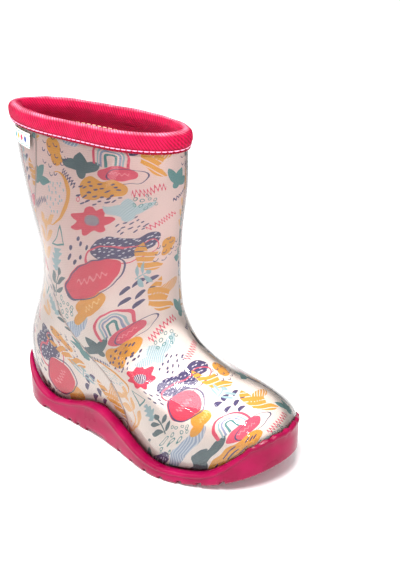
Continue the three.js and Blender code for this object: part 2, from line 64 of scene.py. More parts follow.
# ---------------------------------------------------------------- sizes, in mm, as in the CAD source
SOLE_LENGTH = 189.0
CLEARANCE = 0.3
SHELL_WALL = 1.8
SOCK_WALL = 0.8
LINING_WALL = 2.0
COUNTER_WALL = 1.0
SOLE_FLOOR = 7.7
WELT_LIP = 0.9
GROOVE_DEPTH = 3.0
ARCH_DEPTH = 3.2
SOCK_SOLE_WALL = 1.0
FOAM_WALL = 4.0
COVER_WALL = 0.8
FOOTBED_SIDE_CLEARANCE = 1.2
SEAM_WIDTH = 1.2
THREAD_RADIUS = 0.35
BINDING_WALL = 1.2
BINDING_SWELL = 1.0

SEAT_HEIGHT = SOLE_FLOOR + CLEARANCE
SOCK_DEPTH = SHELL_WALL + CLEARANCE
SOCK_INNER_DEPTH = SOCK_DEPTH + SOCK_WALL
LINING_DEPTH = SOCK_INNER_DEPTH + CLEARANCE
LINING_INNER_DEPTH = LINING_DEPTH + LINING_WALL
BINDING_INNER_DEPTH = LINING_INNER_DEPTH + CLEARANCE
OUTER_FACE = -CLEARANCE - BINDING_WALL
INNER_FACE = BINDING_INNER_DEPTH + BINDING_WALL
SOCK_SOLE_LIFT = SHELL_WALL + CLEARANCE
SOCK_SOLE_TOP = SOCK_SOLE_LIFT + SOCK_SOLE_WALL
STROBEL_LIFT = SOCK_SOLE_TOP + CLEARANCE + THREAD_RADIUS
LINING_LIFT = STROBEL_LIFT + THREAD_RADIUS + CLEARANCE
FOAM_LIFT = SOCK_SOLE_TOP + CLEARANCE
COVER_LIFT = FOAM_LIFT + FOAM_WALL + CLEARANCE

# Loops of the last: level, back y and rise, front y and rise, half widths at heel, waist, ball and toe (outer,
# inner), end radii back and front, sideways shift back and front.
LAST_LOOPS = np.array([
    [0.00, -5, 0, -184, 17, 24, 27, 22, 39, 34, 32, 30, 28, 31, 0, 3],
    [0.09, -1, 19, -187, 29, 26, 29, 25, 39, 33, 32, 30, 30, 29, 0, 3],
    [0.18, -0.5, 36, -177, 40.5, 27, 30, 27, 35, 28, 27, 22, 31, 29, 0, 2],
    [0.26, -3.5, 50, -150, 48.5, 27, 30, 28, 30, 23, 21, 15, 32, 31, 0, 1],
    [0.34, -7.5, 63, -127, 59, 27, 30, 28, 27, 23, 21, 16, 33, 34, 0, 0],
    [0.43, -10.5, 78, -113, 75, 27, 30, 28, 27, 25, 22, 20, 36, 36, 0, 0],
    [0.54, -10.5, 98, -108.5, 98, 27, 30, 28, 28, 26, 25, 23, 38, 38, 0, 0],
    [0.68, -2, 126, -110, 131, 26, 28, 27, 27, 26, 24, 23, 42, 42, 0, 0],
    [0.84, 6, 157, -114, 165, 22, 23, 22, 23, 22, 22, 21, 46, 46, -1, 1],
    [1.00, 9.5, 183, -113.5, 197, 16, 16, 16, 17, 16, 17, 16, 48, 48, -3, 3],
])
LAST_STATIONS = [0, 0.15, 0.42, 0.68, 0.87, 1]
FLAT_LEVELS_END = 0.34
FIRST_ROW = 0.045  # below this level the inner layers stand up square from the floor
TOE_SPRING = 17.0
SPRING_START = 0.66
SPRING_CURVE = 2.2
SOLE_OUTLINE = np.array([
    [0.00, 26.5, 26.5], [0.15, 27.5, 27.5], [0.42, 33, 28.5], [0.66, 43, 38], [0.86, 35, 33], [1.00, 32, 31],
])
HEEL_ROUND = 27.0
TOE_ROUND = 37.0
TOE_SWING = 3.0
WALL_HEIGHTS = np.array([
    [0, 28], [0.06, 26], [0.11, 15], [0.135, 12], [0.165, 15.5], [0.2, 22], [0.215, 22.5], [0.245, 16.5],
    [0.28, 11], [0.325, 9.2], [0.37, 10], [0.4, 16], [0.425, 21.5], [0.45, 22.5], [0.5, 21.5],
])
SEAM_TURNS = np.array([
    [0, 0.25], [0.17, 0.23], [0.34, 0.192], [0.45, 0.152],
    [0.575, 0.095], [0.645, 0.108], [0.8, 0.147], [1, 0.152],
])
TREAD_GROOVES = [(27, 6)] + [(at, 3) for at in (47, 54, 92, 104, 116, 128, 140, 152, 165)]
ARCH = (61.0, 80.0)
ARCH_SLOPE = 3.0
INNER_HEM_LEVEL = 0.925
INNER_STITCH_LEVEL = 0.94
LEG_PER_LEVEL = 180.0  # about how far one level runs along the leg, near the collar
LEG_PER_TURN = 270.0  # about how far one turn runs round the leg
SEEN_LIP_LEVEL = 0.9525  # the seen roll is slimmer than the CAD's, as fleece gives way under the folded twill
SEEN_STITCH_LEVEL = 0.9615
SEEN_INNER_DEPTH = 4.5
SEEN_INNER_FACE = 5.4
COUNTER_LEVELS = (0.05, 0.215)
COUNTER_TURN = 0.21
PANEL_EDGE = SEAM_WIDTH / 2 + CLEARANCE
LABEL_LEVELS = (0.885, 0.938)
LABEL_TURNS = (0.075, 0.145)

# The CAD source moves the whole boot to stand over the origin. The outsole's box tells by how much.
sole_low, sole_high = (np.array(corner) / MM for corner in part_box("outsole"))


# ---------------------------------------------------------------- curves
def curve_through(keys, values, x):
    """A smooth curve through (keys, values) at an array of x, with slopes averaged from the neighbours."""
    keys = np.asarray(keys, float)
    x = np.asarray(x, float)
    values = np.broadcast_to(np.asarray(values, float), x.shape + keys.shape)
    steps = np.diff(keys)
    slopes = np.diff(values, axis=-1) / steps
    inner = (slopes[..., :-1] * steps[1:] + slopes[..., 1:] * steps[:-1]) / (steps[:-1] + steps[1:])
    tangents = np.concatenate([slopes[..., :1], inner, slopes[..., -1:]], axis=-1)
    i = np.clip(np.searchsorted(keys, x, side="right") - 1, 0, len(keys) - 2)
    step = steps[i]
    t = (x - keys[i]) / step

    def pick(table, k):
        return np.take_along_axis(table, k[..., None], axis=-1)[..., 0]

    return ((2 * t**3 - 3 * t**2 + 1) * pick(values, i) + (t**3 - 2 * t**2 + t) * step * pick(tangents, i)
            + (3 * t**2 - 2 * t**3) * pick(values, i + 1) + (t**3 - t**2) * step * pick(tangents, i + 1))


def curve_of(table, column, x):
    return curve_through(table[:, 0], table[:, column], x)


def smooth(low, high, x):
    t = np.clip((x - low) / (high - low), 0, 1)
    return t * t * (3 - 2 * t)


def round_end(distance, radius):
    inward = 1 - np.clip(distance / radius, 0, 1)
    return np.sqrt(1 - inward * inward)


def turning_place(is_over, low, high, halvings):
    """Where is_over becomes true between the arrays low and high, found by halving."""
    for _ in range(halvings):
        middle = (low + high) / 2
        over = is_over(middle)
        high = np.where(over, middle, high)
        low = np.where(over, low, middle)
    return (low + high) / 2


def share_along(turn):
    return (1 - np.cos(2 * np.pi * turn)) / 2


def spring_share(share):
    return np.clip((share - SPRING_START) / (1 - SPRING_START), 0, 1) ** SPRING_CURVE


def side_turn(turn):
    wrapped = np.mod(turn, 1)
    return np.minimum(wrapped, 1 - wrapped)


def unit(vectors):
    return vectors / np.maximum(np.linalg.norm(vectors, axis=-1, keepdims=True), 1e-9)


# ---------------------------------------------------------------- surface of the last
def last_point(turn, level):
    """Points of the shell's outer surface. Turn 0 is the back, 0.25 the outer side, 0.5 the front."""
    turn, level = np.broadcast_arrays(np.asarray(turn, float), np.asarray(level, float))
    at = [None] + [curve_of(LAST_LOOPS, column, level) for column in range(1, LAST_LOOPS.shape[1])]
    share = share_along(turn)
    outer_side = np.sin(2 * np.pi * turn) >= 0
    outer = np.stack([at[5], at[5], at[6], at[8], at[10], at[10]], axis=-1)
    inner = np.stack([at[5], at[5], at[7], at[9], at[11], at[11]], axis=-1)
    half_width = curve_through(LAST_STATIONS, np.where(outer_side[..., None], outer, inner), share)
    loop_length = np.hypot(at[3] - at[1], at[4] - at[2])
    ends = round_end(share * loop_length, at[12]) * round_end((1 - share) * loop_length, at[13])
    shift = at[14] + (at[15] - at[14]) * share
    slant_rise = at[2] + (at[4] - at[2]) * share
    curved_rise = at[2] + (at[4] - at[2]) * spring_share(share)
    low_rise = np.where(level <= 0, TOE_SPRING * spring_share(share), curved_rise)
    straightness = smooth(0, FLAT_LEVELS_END, level)
    return np.stack([
        np.where(outer_side, -half_width, half_width) * ends + shift,
        at[1] + (at[3] - at[1]) * share,
        SEAT_HEIGHT + low_rise * (1 - straightness) + slant_rise * straightness,
    ], axis=-1)


NUDGE = 1e-4


def direction_up(turn, level):
    level = np.asarray(level, float)
    above = last_point(turn, np.minimum(1, level + NUDGE))
    return unit(above - last_point(turn, np.maximum(0, level - NUDGE)))


def outward(turn, level):
    """Outward normals of the last. Towards the seat they turn level, so that the layers stand square on it."""
    turn, level = np.broadcast_arrays(np.asarray(turn, float), np.asarray(level, float))
    around = last_point(turn + NUDGE, level) - last_point(turn - NUDGE, level)
    normal = -np.cross(direction_up(turn, np.maximum(level, FIRST_ROW / 2)), around)
    normal[..., 2] *= smooth(0, FIRST_ROW, level)
    return unit(normal)


def layer(turn, level, depth, lift=0.0):
    """Points at a depth inside the last's surface. Levels above 1 go on past the rim, in line with the leg."""
    turn, level, depth = np.broadcast_arrays(*(np.asarray(x, float) for x in (turn, level, depth)))
    below = np.clip(level, 0, 1)
    points = last_point(turn, below) - outward(turn, below) * depth[..., None]
    points += direction_up(turn, below) * (np.maximum(level - 1, 0) * LEG_PER_LEVEL)[..., None]
    points[..., 2] += lift * np.clip(1 - level / FIRST_ROW, 0, 1)
    return points


def room_for_counter(turn, level):
    near_back = 1 - smooth(0.225, 0.3, side_turn(turn))
    near_sole = 1 - smooth(0.275, 0.42, level)
    return (COUNTER_WALL + CLEARANCE) * near_back * near_sole


def seam_turn(side, level, forward):
    """Turn of a seam of the sock at a level, moved forward by a distance. Side is 1 outside, -1 inside."""
    turn = curve_of(SEAM_TURNS, 1, level)
    step = 0.005
    moved = last_point(side * (turn + step), level) - last_point(side * (turn - step), level)
    per_turn = np.linalg.norm(moved, axis=-1) / (2 * step)
    return side * (turn + forward / per_turn)


def sole_outline(turn):
    share = share_along(turn)
    outer_side = np.sin(2 * np.pi * turn) >= 0
    half_width = np.where(outer_side, curve_of(SOLE_OUTLINE, 1, share), curve_of(SOLE_OUTLINE, 2, share))
    ends = round_end(share * SOLE_LENGTH, HEEL_ROUND) * round_end((1 - share) * SOLE_LENGTH, TOE_ROUND)
    return np.stack([
        np.where(outer_side, -half_width, half_width) * ends + TOE_SWING * share**3,
        -share * SOLE_LENGTH,
        TOE_SPRING * spring_share(share),
    ], axis=-1)


def sole_point(turn, outset, height):
    around = sole_outline(turn + NUDGE) - sole_outline(turn - NUDGE)
    out = unit(np.stack([around[..., 1], -around[..., 0], np.zeros_like(around[..., 0])], axis=-1))
    points = sole_outline(turn) + out * np.asarray(outset, float)[..., None]
    points[..., 2] += height
    return points


ring_turns = np.linspace(0, 1, 721)
outline_x = sole_point(ring_turns, np.full_like(ring_turns, WELT_LIP), 0.0)[:, 0]
SHIFT = np.array([
    (sole_low[0] + sole_high[0]) / 2 - (outline_x.min() + outline_x.max()) / 2,
    sole_high[1] - WELT_LIP,
    0.0,
])


# ---------------------------------------------------------------- camera, placed to frame one boot of a pair
def to_frame(point):
    """A point in metres in the row frame, from one in the last's millimetres."""
    return Vector((np.asarray(point, float) + SHIFT) * MM)


CAMERA_AZIMUTH = math.radians(-52.5)
CAMERA_ELEVATION = math.radians(31.0)
CAMERA_DISTANCE = 1150.0
CAMERA_LENS = 123.5
camera_back = np.array([
    math.sin(CAMERA_AZIMUTH) * math.cos(CAMERA_ELEVATION),
    -math.cos(CAMERA_AZIMUTH) * math.cos(CAMERA_ELEVATION),
    math.sin(CAMERA_ELEVATION),
])
camera_right = np.array([math.cos(CAMERA_AZIMUTH), math.sin(CAMERA_AZIMUTH), 0.0])
camera_up = np.cross(camera_back, camera_right)
camera_target = np.array([0.0, -95.0, 90.0]) + 24.4 * camera_right + 10.5 * camera_up
camera_data = bpy.data.cameras.new("camera")
camera_data.lens = CAMERA_LENS
camera = bpy.data.objects.new("camera", camera_data)
bpy.context.scene.collection.objects.link(camera)
camera.location = to_frame(camera_target + CAMERA_DISTANCE * camera_back)
camera.rotation_mode = "QUATERNION"
camera.rotation_quaternion = Vector(-camera_back).to_track_quat("-Z", "Y")
bpy.context.scene.camera = camera
bpy.context.scene.view_settings.view_transform = "Standard"


# ---------------------------------------------------------------- meshes
def signed_volume(points, quads):
    a, b, c, d = (points[quads[:, k]] for k in range(4))
    return (np.einsum("ij,ij->i", a, np.cross(b, c)) + np.einsum("ij,ij->i", a, np.cross(c, d))).sum()


def grid_quads(rows, columns, around=True, closed=False):
    """Quads of a grid of rows and columns; around joins the last column to the first, closed the last row."""
    r = np.arange(rows if closed else rows - 1)
    c = np.arange(columns if around else columns - 1)
    r, c = (x.ravel() for x in np.meshgrid(r, c, indexing="ij"))
    up, along = (r + 1) % rows, (c + 1) % columns
    return np.stack([r * columns + c, r * columns + along, up * columns + along, up * columns + c], axis=-1)


def cap_quads(start, columns):
    """Strips across a ring, from each point to its mirror; the two end strips are triangles."""
    i = np.arange(columns // 2)
    return np.stack([start + i, start + i + 1, start + (columns - i - 1) % columns,
                     start + (columns - i) % columns], axis=-1)


def add_piece(name, points, quads, materials, replaces=(), attributes=None):
    """A mesh from millimetre points and quads; a quad whose neighbours are the same point is a triangle."""
    if signed_volume(points, quads) < 0:
        quads = quads[:, ::-1]
    faces = [[corner for k, corner in enumerate(quad) if corner != quad[k - 1]] for quad in quads.tolist()]
    mesh = bpy.data.meshes.new(name)
    mesh.from_pydata(((points + SHIFT) * MM).tolist(), [], faces)
    for key, values in (attributes or {}).items():
        attribute = mesh.attributes.new(key, "FLOAT_VECTOR", "POINT")
        attribute.data.foreach_set("vector", np.ascontiguousarray(values, np.float32).ravel())
    mesh.polygons.foreach_set("use_smooth", [True] * len(mesh.polygons))
    mesh.update()
    piece = bpy.data.objects.new(name, mesh)
    bpy.context.scene.collection.objects.link(piece)
    for each in materials if isinstance(materials, list) else [materials]:
        mesh.materials.append(each)
    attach(piece, "root")
    if replaces:
        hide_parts(*replaces)
    return piece


# ---------------------------------------------------------------- shader arithmetic
class Wire:
    """A shader value that takes part in arithmetic; each operation adds one math node."""

    def __init__(self, tree, socket):
        self.tree = tree
        self.socket = socket

    def node(self, kind, *inputs, **settings):
        return make_node(self.tree, kind, *inputs, **settings)

    def math(self, operation, *others):
        made = self.node("ShaderNodeMath", self, *others, operation=operation)
        return Wire(self.tree, made.outputs[0])

    def __add__(self, other):
        return self.math("ADD", other)

    def __sub__(self, other):
        return self.math("SUBTRACT", other)

    def __mul__(self, other):
        return self.math("MULTIPLY", other)

    def __truediv__(self, other):
        return self.math("DIVIDE", other)

    def sine(self):
        return self.math("SINE")

    def wave(self, length):
        """A sine wave that repeats each length."""
        return (self * (2 * math.pi / length)).sine()

    def size(self):
        return self.math("ABSOLUTE")

    def lowest(self, other):
        return self.math("MINIMUM", other)

    def highest(self, other):
        return self.math("MAXIMUM", other)

    def below(self, other):
        return self.math("LESS_THAN", other)

    def mapped(self, low, high, new_low=0.0, new_high=1.0, kind="SMOOTHSTEP"):
        made = self.node("ShaderNodeMapRange", self, low, high, new_low, new_high, interpolation_type=kind)
        return Wire(self.tree, made.outputs[0])

    def vector(self, operation, *others):
        made = self.node("ShaderNodeVectorMath", self, *others, operation=operation)
        return Wire(self.tree, made.outputs["Value" if operation in ("LENGTH", "DOT_PRODUCT") else "Vector"])

    def parts(self):
        made = self.node("ShaderNodeSeparateXYZ", self)
        return [Wire(self.tree, output) for output in made.outputs]


def make_node(tree, kind, *inputs, **settings):
    """A node with its inputs in order: wires are linked, numbers set, None left alone."""
    node = tree.nodes.new(kind)
    for key, value in settings.items():
        setattr(node, key, value)
    for socket, value in zip(node.inputs, inputs):
        put(tree, socket, value)
    return node


def put(tree, socket, value):
    if isinstance(value, Wire):
        tree.links.new(value.socket, socket)
    elif value is not None:
        socket.default_value = value


def linear(red, green, blue):
    """Linear colour from sRGB numbers up to 255."""
    parts = [c / 255 for c in (red, green, blue)]
    return tuple(c / 12.92 if c <= 0.04045 else ((c + 0.055) / 1.055) ** 2.4 for c in parts) + (1.0,)


def mix_colour(tree, factor, first, second, mode="MIX"):
    node = tree.nodes.new("ShaderNodeMix")
    node.data_type = "RGBA"
    node.blend_type = mode
    put(tree, node.inputs[0], factor)
    put(tree, node.inputs[6], first)
    put(tree, node.inputs[7], second)
    return Wire(tree, node.outputs[2])


def noise(tree, where, scale, detail=2.0, roughness=0.5):
    node = tree.nodes.new("ShaderNodeTexNoise")
    put(tree, node.inputs["Vector"], where)
    node.inputs["Scale"].default_value = scale
    node.inputs["Detail"].default_value = detail
    node.inputs["Roughness"].default_value = roughness
    return Wire(tree, node.outputs[0])


def attribute(tree, name):
    node = tree.nodes.new("ShaderNodeAttribute")
    node.attribute_name = name
    return Wire(tree, node.outputs["Vector"])


def place(tree):
    """Position on the boot in millimetres."""
    node = tree.nodes.new("ShaderNodeTexCoord")
    return Wire(tree, node.outputs["Object"]).vector("SCALE", None, None, 1 / MM)


def bump(tree, height, distance, strength=1.0):
    """A normal from a height in millimetres."""
    node = tree.nodes.new("ShaderNodeBump")
    node.inputs["Strength"].default_value = strength
    node.inputs["Distance"].default_value = distance * MM
    put(tree, node.inputs["Height"], height)
    return Wire(tree, node.outputs[0])


def material(name, **settings):
    """A Principled material; returns it with its tree and shader."""
    made = bpy.data.materials.new(name)
    made.use_nodes = True
    shader = made.node_tree.nodes["Principled BSDF"]
    for key, value in settings.items():
        shader.inputs[key.replace("_", " ").title().replace("Ior", "IOR")].default_value = value
    return made, made.node_tree, shader


def dress(tree, shader, colour, normal):
    put(tree, shader.inputs["Base Color"], colour)
    put(tree, shader.inputs["Normal"], normal)


# ---------------------------------------------------------------- materials
def moulded_pvc():
    """Magenta moulded PVC: semi-gloss, faintly uneven, duller low down where it scuffs."""
    made, tree, shader = material("outsole_pvc", roughness=0.36, specular_ior_level=0.12, coat_weight=0.04,
                                  coat_roughness=0.12)
    here = place(tree)
    cloud = noise(tree, here, 0.06, 3)
    colour = mix_colour(tree, cloud.mapped(0.35, 0.7), linear(124, 0, 50), linear(144, 0, 62))
    scuff = here.parts()[2].mapped(6.0, 0.0) * noise(tree, here, 0.5, 4, 0.7).mapped(0.45, 0.7)
    colour = mix_colour(tree, scuff * 0.25, colour, linear(88, 10, 38))
    put(tree, shader.inputs["Base Color"], colour)
    put(tree, shader.inputs["Roughness"], scuff * 0.25 + cloud.mapped(0.3, 0.7, 0.26, 0.38))
    put(tree, shader.inputs["Normal"], bump(tree, noise(tree, here, 1.6, 3), 0.04, 0.5))
    return made


# The twill's cloth runs along the collar and round its section, in mm; ribs lie slantwise over both.
RIB_ALONG = 0.8
RIB_ACROSS = 0.62
RIB_PITCH = 1.45
YARN_PITCH = 0.5
LIP_START = 2.6
LIP_END = 3.2
# Where the painted sheen sits across the twill's section, and how far it reaches
CROWN_SHEEN_PLACE = 14.2
CROWN_SHEEN_REACH = 2.6


def twill(name, dark, light):
    """Diagonal twill: lighter on its ribs, with a painted sheen along the top of the fold, and darker on the hem
    lip.
    """
    made, tree, shader = material(name, roughness=0.7, specular_ior_level=0.15, sheen_weight=0.08,
                                  sheen_roughness=0.35)
    shader.inputs["Sheen Tint"].default_value = linear(255, 170, 200)
    along, across, _ = attribute(tree, "cloth").parts()
    rib = (along * RIB_ALONG + across * RIB_ACROSS).wave(RIB_PITCH) * 0.5 + 0.5
    yarn = (along * RIB_ACROSS - across * RIB_ALONG).wave(YARN_PITCH) * 0.5 + 0.5
    here = place(tree)
    cloud = noise(tree, here, 0.16, 3).mapped(0.3, 0.7)
    colour = mix_colour(tree, rib * 0.65 + yarn * 0.1 + cloud * 0.25, dark, light)
    colour = mix_colour(tree, across.mapped(LIP_END, LIP_START, 0.0, 0.75), colour, linear(110, 0, 22))
    # Painted sheen: the top of the fold is mixed towards pale pink, strongest on the ribs.
    crown = (across - CROWN_SHEEN_PLACE).size().mapped(CROWN_SHEEN_REACH, 0.0) * (rib * 0.7 + 0.3)
    crown = crown * cloud.mapped(0.0, 1.0, 0.35, 0.8)
    colour = mix_colour(tree, crown, colour, linear(244, 160, 186))
    dress(tree, shader, colour, bump(tree, rib + yarn * 0.3 + noise(tree, here, 2.0) * 0.5, 0.4, 0.9))
    return made


def fleece():
    """Brushed pile: mottled tufts with a soft sheen."""
    made, tree, shader = material("fleece", roughness=0.95, specular_ior_level=0.1, sheen_weight=0.15,
                                  sheen_roughness=0.5)
    shader.inputs["Sheen Tint"].default_value = linear(255, 60, 120)
    here = place(tree)
    tufts = noise(tree, here, 0.7, 4, 0.65)
    colour = mix_colour(tree, tufts.mapped(0.35, 0.65), linear(250, 0, 44), linear(255, 10, 88))
    dress(tree, shader, colour, bump(tree, tufts + noise(tree, here, 2.5, 2), 0.8, 0.8))
    return made


PLY_TURNS_PER_MM = 1.1


def thread(name, dark, light):
    """Twisted thread: light and dark plies wind round it."""
    made, tree, shader = material(name, roughness=0.55, sheen_weight=0.3)
    along, around, _ = attribute(tree, "cloth").parts()
    ply = (along * PLY_TURNS_PER_MM + around).wave(1.0) * 0.5 + 0.5
    dress(tree, shader, mix_colour(tree, ply, dark, light), bump(tree, ply, 0.1, 0.7))
    return made


def matt(name, dark, light, scale, relief):
    """Matt fibre, foam or brushed cloth, mottled at the given scale."""
    made, tree, shader = material(name, roughness=0.9)
    here = place(tree)
    mottle = noise(tree, here, scale, 4, 0.6)
    dress(tree, shader, mix_colour(tree, mottle.mapped(0.35, 0.65), dark, light),
          bump(tree, mottle, relief, 0.8))
    return made


def mixed_shader(tree, factor, first, second):
    node = tree.nodes.new("ShaderNodeMixShader")
    put(tree, node.inputs[0], factor)
    tree.links.new(first, node.inputs[1])
    tree.links.new(second, node.inputs[2])
    return node.outputs[0]


def clear_pvc(name, glossy):
    """Clear PVC: what lies behind shows through, with a gloss on top and a milky edge seen aslant."""
    made = bpy.data.materials.new(name)
    made.use_nodes = True
    tree = made.node_tree
    tree.nodes.remove(tree.nodes["Principled BSDF"])
    clear = tree.nodes.new("ShaderNodeBsdfTransparent")
    clear.inputs["Color"].default_value = (0.985, 0.975, 0.97, 1.0)
    surface = clear.outputs[0]
    if glossy:
        milk = tree.nodes.new("ShaderNodeBsdfDiffuse")
        milk.inputs["Color"].default_value = linear(246, 240, 238)
        facing = tree.nodes.new("ShaderNodeLayerWeight")
        facing.inputs["Blend"].default_value = 0.5
        haze = Wire(tree, facing.outputs["Facing"]).mapped(0.6, 1.0, 0.01, 0.7)
        gloss = tree.nodes.new("ShaderNodeBsdfGlossy")
        gloss.inputs["Roughness"].default_value = 0.06
        fresnel = tree.nodes.new("ShaderNodeFresnel")
        fresnel.inputs["IOR"].default_value = 1.5
        lining_seam, counter_edge, _ = attribute(tree, "lines").parts()
        ridge = lining_seam.size().mapped(0.8, 0.0) + counter_edge.size().mapped(1.0, 0.0) * 0.8
        here = place(tree)
        ripple = noise(tree, here, 0.05, 1) * 1.2 + noise(tree, here, 0.4, 2) * 0.06
        normal = bump(tree, ridge * 0.35 + ripple, 1.0, 0.35)
        for node in (gloss, fresnel):
            put(tree, node.inputs["Normal"], normal)
        surface = mixed_shader(tree, haze, surface, milk.outputs[0])
        surface = mixed_shader(tree, Wire(tree, fresnel.outputs[0]), surface, gloss.outputs[0])
    tree.links.new(surface, tree.nodes["Material Output"].inputs["Surface"])
    return made


NAVY = linear(62, 56, 104)
DARK_TEAL = linear(70, 100, 106)
TEAL = linear(70, 138, 138)
PALE_TEAL = linear(152, 186, 194)
GREY_BLUE = linear(142, 154, 186)
MUSTARD = linear(228, 160, 44)
PEACH = linear(238, 186, 116)
CORAL = linear(222, 74, 104)
RED_PINK = linear(222, 48, 82)
CREAM = linear(240, 228, 222)
PRINT_REPEAT = 97.0
MOTIF_SCALE = 1.12


class Print:
    """Motifs painted one over another on a cloth whose pattern repeats across and down.

    Positions are millimetres on the flat cloth, x to the right and y down. A motif is drawn in its own
    coordinates, where its half width and half height are 1.
    """

    def __init__(self, tree, cloth, ground):
        self.tree = tree
        self.cloth = cloth
        self.colour = ground

    def at(self, x, y, half_width=1.0, half_height=1.0, turn=0.0):
        half = PRINT_REPEAT / 2
        near = self.cloth.vector("WRAP", (x + half, y + half, 1.0), (x - half, y - half, -1.0))
        return self.within(near, x, y, half_width * MOTIF_SCALE, half_height * MOTIF_SCALE, turn)

    def within(self, p, x, y, half_width=1.0, half_height=1.0, turn=0.0):
        if turn:
            turned = make_node(self.tree, "ShaderNodeVectorRotate", p, (x, y, 0.0), rotation_type="Z_AXIS")
            turned.inputs["Angle"].default_value = math.radians(-turn)
            p = Wire(self.tree, turned.outputs[0])
        return p.vector("MULTIPLY_ADD", (1 / half_width, 1 / half_height, 0.0),
                        (-x / half_width, -y / half_height, 0.0))

    def paint(self, mask, colour):
        self.colour = mix_colour(self.tree, mask, self.colour, colour)

    # shapes: each gives 1 inside and 0 outside
    def disc(self, p):
        return p.vector("LENGTH").below(1.0)

    def ring(self, p, thickness):
        return (p.vector("LENGTH") - 1.0).size().below(thickness)

    def blob(self, p, *lobes, outline=None):
        """Ellipses (x, y, half width, half height, turn) run together; with an outline only its edge."""
        reach = None
        for lobe in lobes:
            far = self.within(p, *lobe).vector("LENGTH")
            reach = far if reach is None else reach.math("SMOOTH_MIN", far, 0.35)
        return reach.below(1.0) if outline is None else (reach - 1.0).size().below(outline)

    def leaf(self, p, x, y, half_width, half_length, turn):
        across, along, _ = self.within(p, x, y, half_width, half_length, turn).parts()
        return (across.size() + along * along).below(1.0)

    def squiggle(self, p, waves, height, thickness):
        x, y, _ = p.parts()
        line = (y - (x * (waves * math.pi)).sine() * height).size().below(thickness)
        return line * x.size().below(1.0)

    def hatch(self, p, lines, cover=0.0):
        x, y, _ = p.parts()
        return (x * (lines * math.pi) + y * (lines * 2.0)).sine().below(cover)

    def scatter(self, p, spacing, reach_x, reach_y, half_width, half_height, turn, wobble=0.7):
        """Whole marks strewn over an ellipse: each mark's own coordinates, and where marks are."""
        node = self.tree.nodes.new("ShaderNodeTexVoronoi")
        node.voronoi_dimensions = "2D"
        put(self.tree, node.inputs["Vector"], p)
        node.inputs["Scale"].default_value = 1 / spacing
        node.inputs["Randomness"].default_value = wobble
        middle = Wire(self.tree, node.outputs["Position"])
        mark = self.within(p.vector("SUBTRACT", middle), 0.0, 0.0, half_width, half_height, turn)
        return mark, self.disc(self.within(middle, 0.0, 0.0, reach_x, reach_y))

    # motifs
    def word(self, x, y, half_width, half_height, colour, turn, waves=9.0, height=0.6, thickness=0.35):
        """A wavy line instead of a word."""
        p = self.at(x, y, half_width, half_height, turn)
        self.paint(self.squiggle(p, waves, height, thickness), colour)

    def dashes(self, x, y, reach_x, reach_y, colour, spacing=3.4, size=(1.2, 0.42), turn=0.0):
        mark, there = self.scatter(self.at(x, y), spacing, reach_x, reach_y, *size, turn)
        self.paint(self.disc(mark) * there, colour)

    def rings(self, x, y, reach_x, reach_y, colour, spacing=3.2):
        mark, there = self.scatter(self.at(x, y), spacing, reach_x, reach_y, 0.85, 0.8, 0.0)
        self.paint(self.ring(mark, 0.24) * there, colour)

    def hooks(self, x, y, reach_x, reach_y, colour, turn=0.0):
        mark, there = self.scatter(self.at(x, y), 4.2, reach_x, reach_y, 1.15, 1.15, turn, 0.5)
        self.paint(self.ring(mark, 0.2) * there * mark.parts()[1].math("GREATER_THAN", 0.0), colour)

    def stones(self, x, y, reach_x, reach_y, colour):
        mark, there = self.scatter(self.at(x, y), 6.2, reach_x, reach_y, 2.9, 2.2, -12.0, 0.4)
        self.paint(self.disc(mark) * there * mark.parts()[1].below(0.15), colour)

    def three_leaves(self, x, y, half_width, half_height, colour, turn=0.0, hatched=None):
        p = self.at(x, y, half_width, half_height, turn)
        leaves = self.leaf(p, 0.0, -0.15, 0.36, 0.85, 0.0)
        for lean in (-1, 1):
            leaves = leaves.highest(self.leaf(p, lean * 0.52, 0.1, 0.38, 0.72, lean * 52.0))
        leaves = leaves.highest(self.disc(self.within(p, 0.0, 0.62, 0.26, 0.42)))
        self.paint(leaves, colour)
        if hatched:
            self.paint(leaves * self.hatch(p, 14.0), hatched)

    def sprig(self, x, y, half_width, half_height, colour, turn=0.0, pairs=2):
        """Pairs of leaves up a stem."""
        p = self.at(x, y, half_width, half_height, turn)
        leaves = self.leaf(p, 0.0, -0.72, 0.22, 0.32, 0.0)
        for k in range(pairs):
            level = 0.55 - 0.72 * k
            for lean in (-1, 1):
                leaves = leaves.highest(self.leaf(p, lean * 0.5, level - 0.1, 0.2, 0.52, lean * 58.0))
        stem_x, stem_y, _ = p.parts()
        leaves = leaves.highest(stem_x.size().below(0.05) * stem_y.size().below(0.95))
        self.paint(leaves, colour)

    def flower(self, x, y, half_width, half_height, petals, colour, middle, turn=0.0):
        p = self.at(x, y, half_width, half_height, turn)
        across, down, _ = p.parts()
        angle = down.math("ARCTAN2", across)
        edge = (angle * petals).math("COSINE") * 0.16 + 0.84
        self.paint((p.vector("LENGTH") / edge).below(1.0), colour)
        heart = self.within(p, 0.02, 0.0, 0.36, 0.4)
        self.paint(self.disc(heart), middle)
        self.paint(self.disc(heart) * self.hatch(heart, 6.0, -0.55), CREAM)

    def oval(self, x, y, half_width, half_height, colour, line, turn=0.0, ring_shift=(0.1, 0.06)):
        """A filled oval with a loose outline round it and a pale wave across it."""
        p = self.at(x, y, half_width, half_height, turn)
        self.paint(self.disc(p), colour)
        self.paint(self.squiggle(self.within(p, 0.0, 0.0, 0.55, 0.5), 5.0, 0.28, 0.13), linear(244, 150, 160))
        self.paint(self.ring(self.within(p, *ring_shift, 1.04, 1.02), 0.035), line)

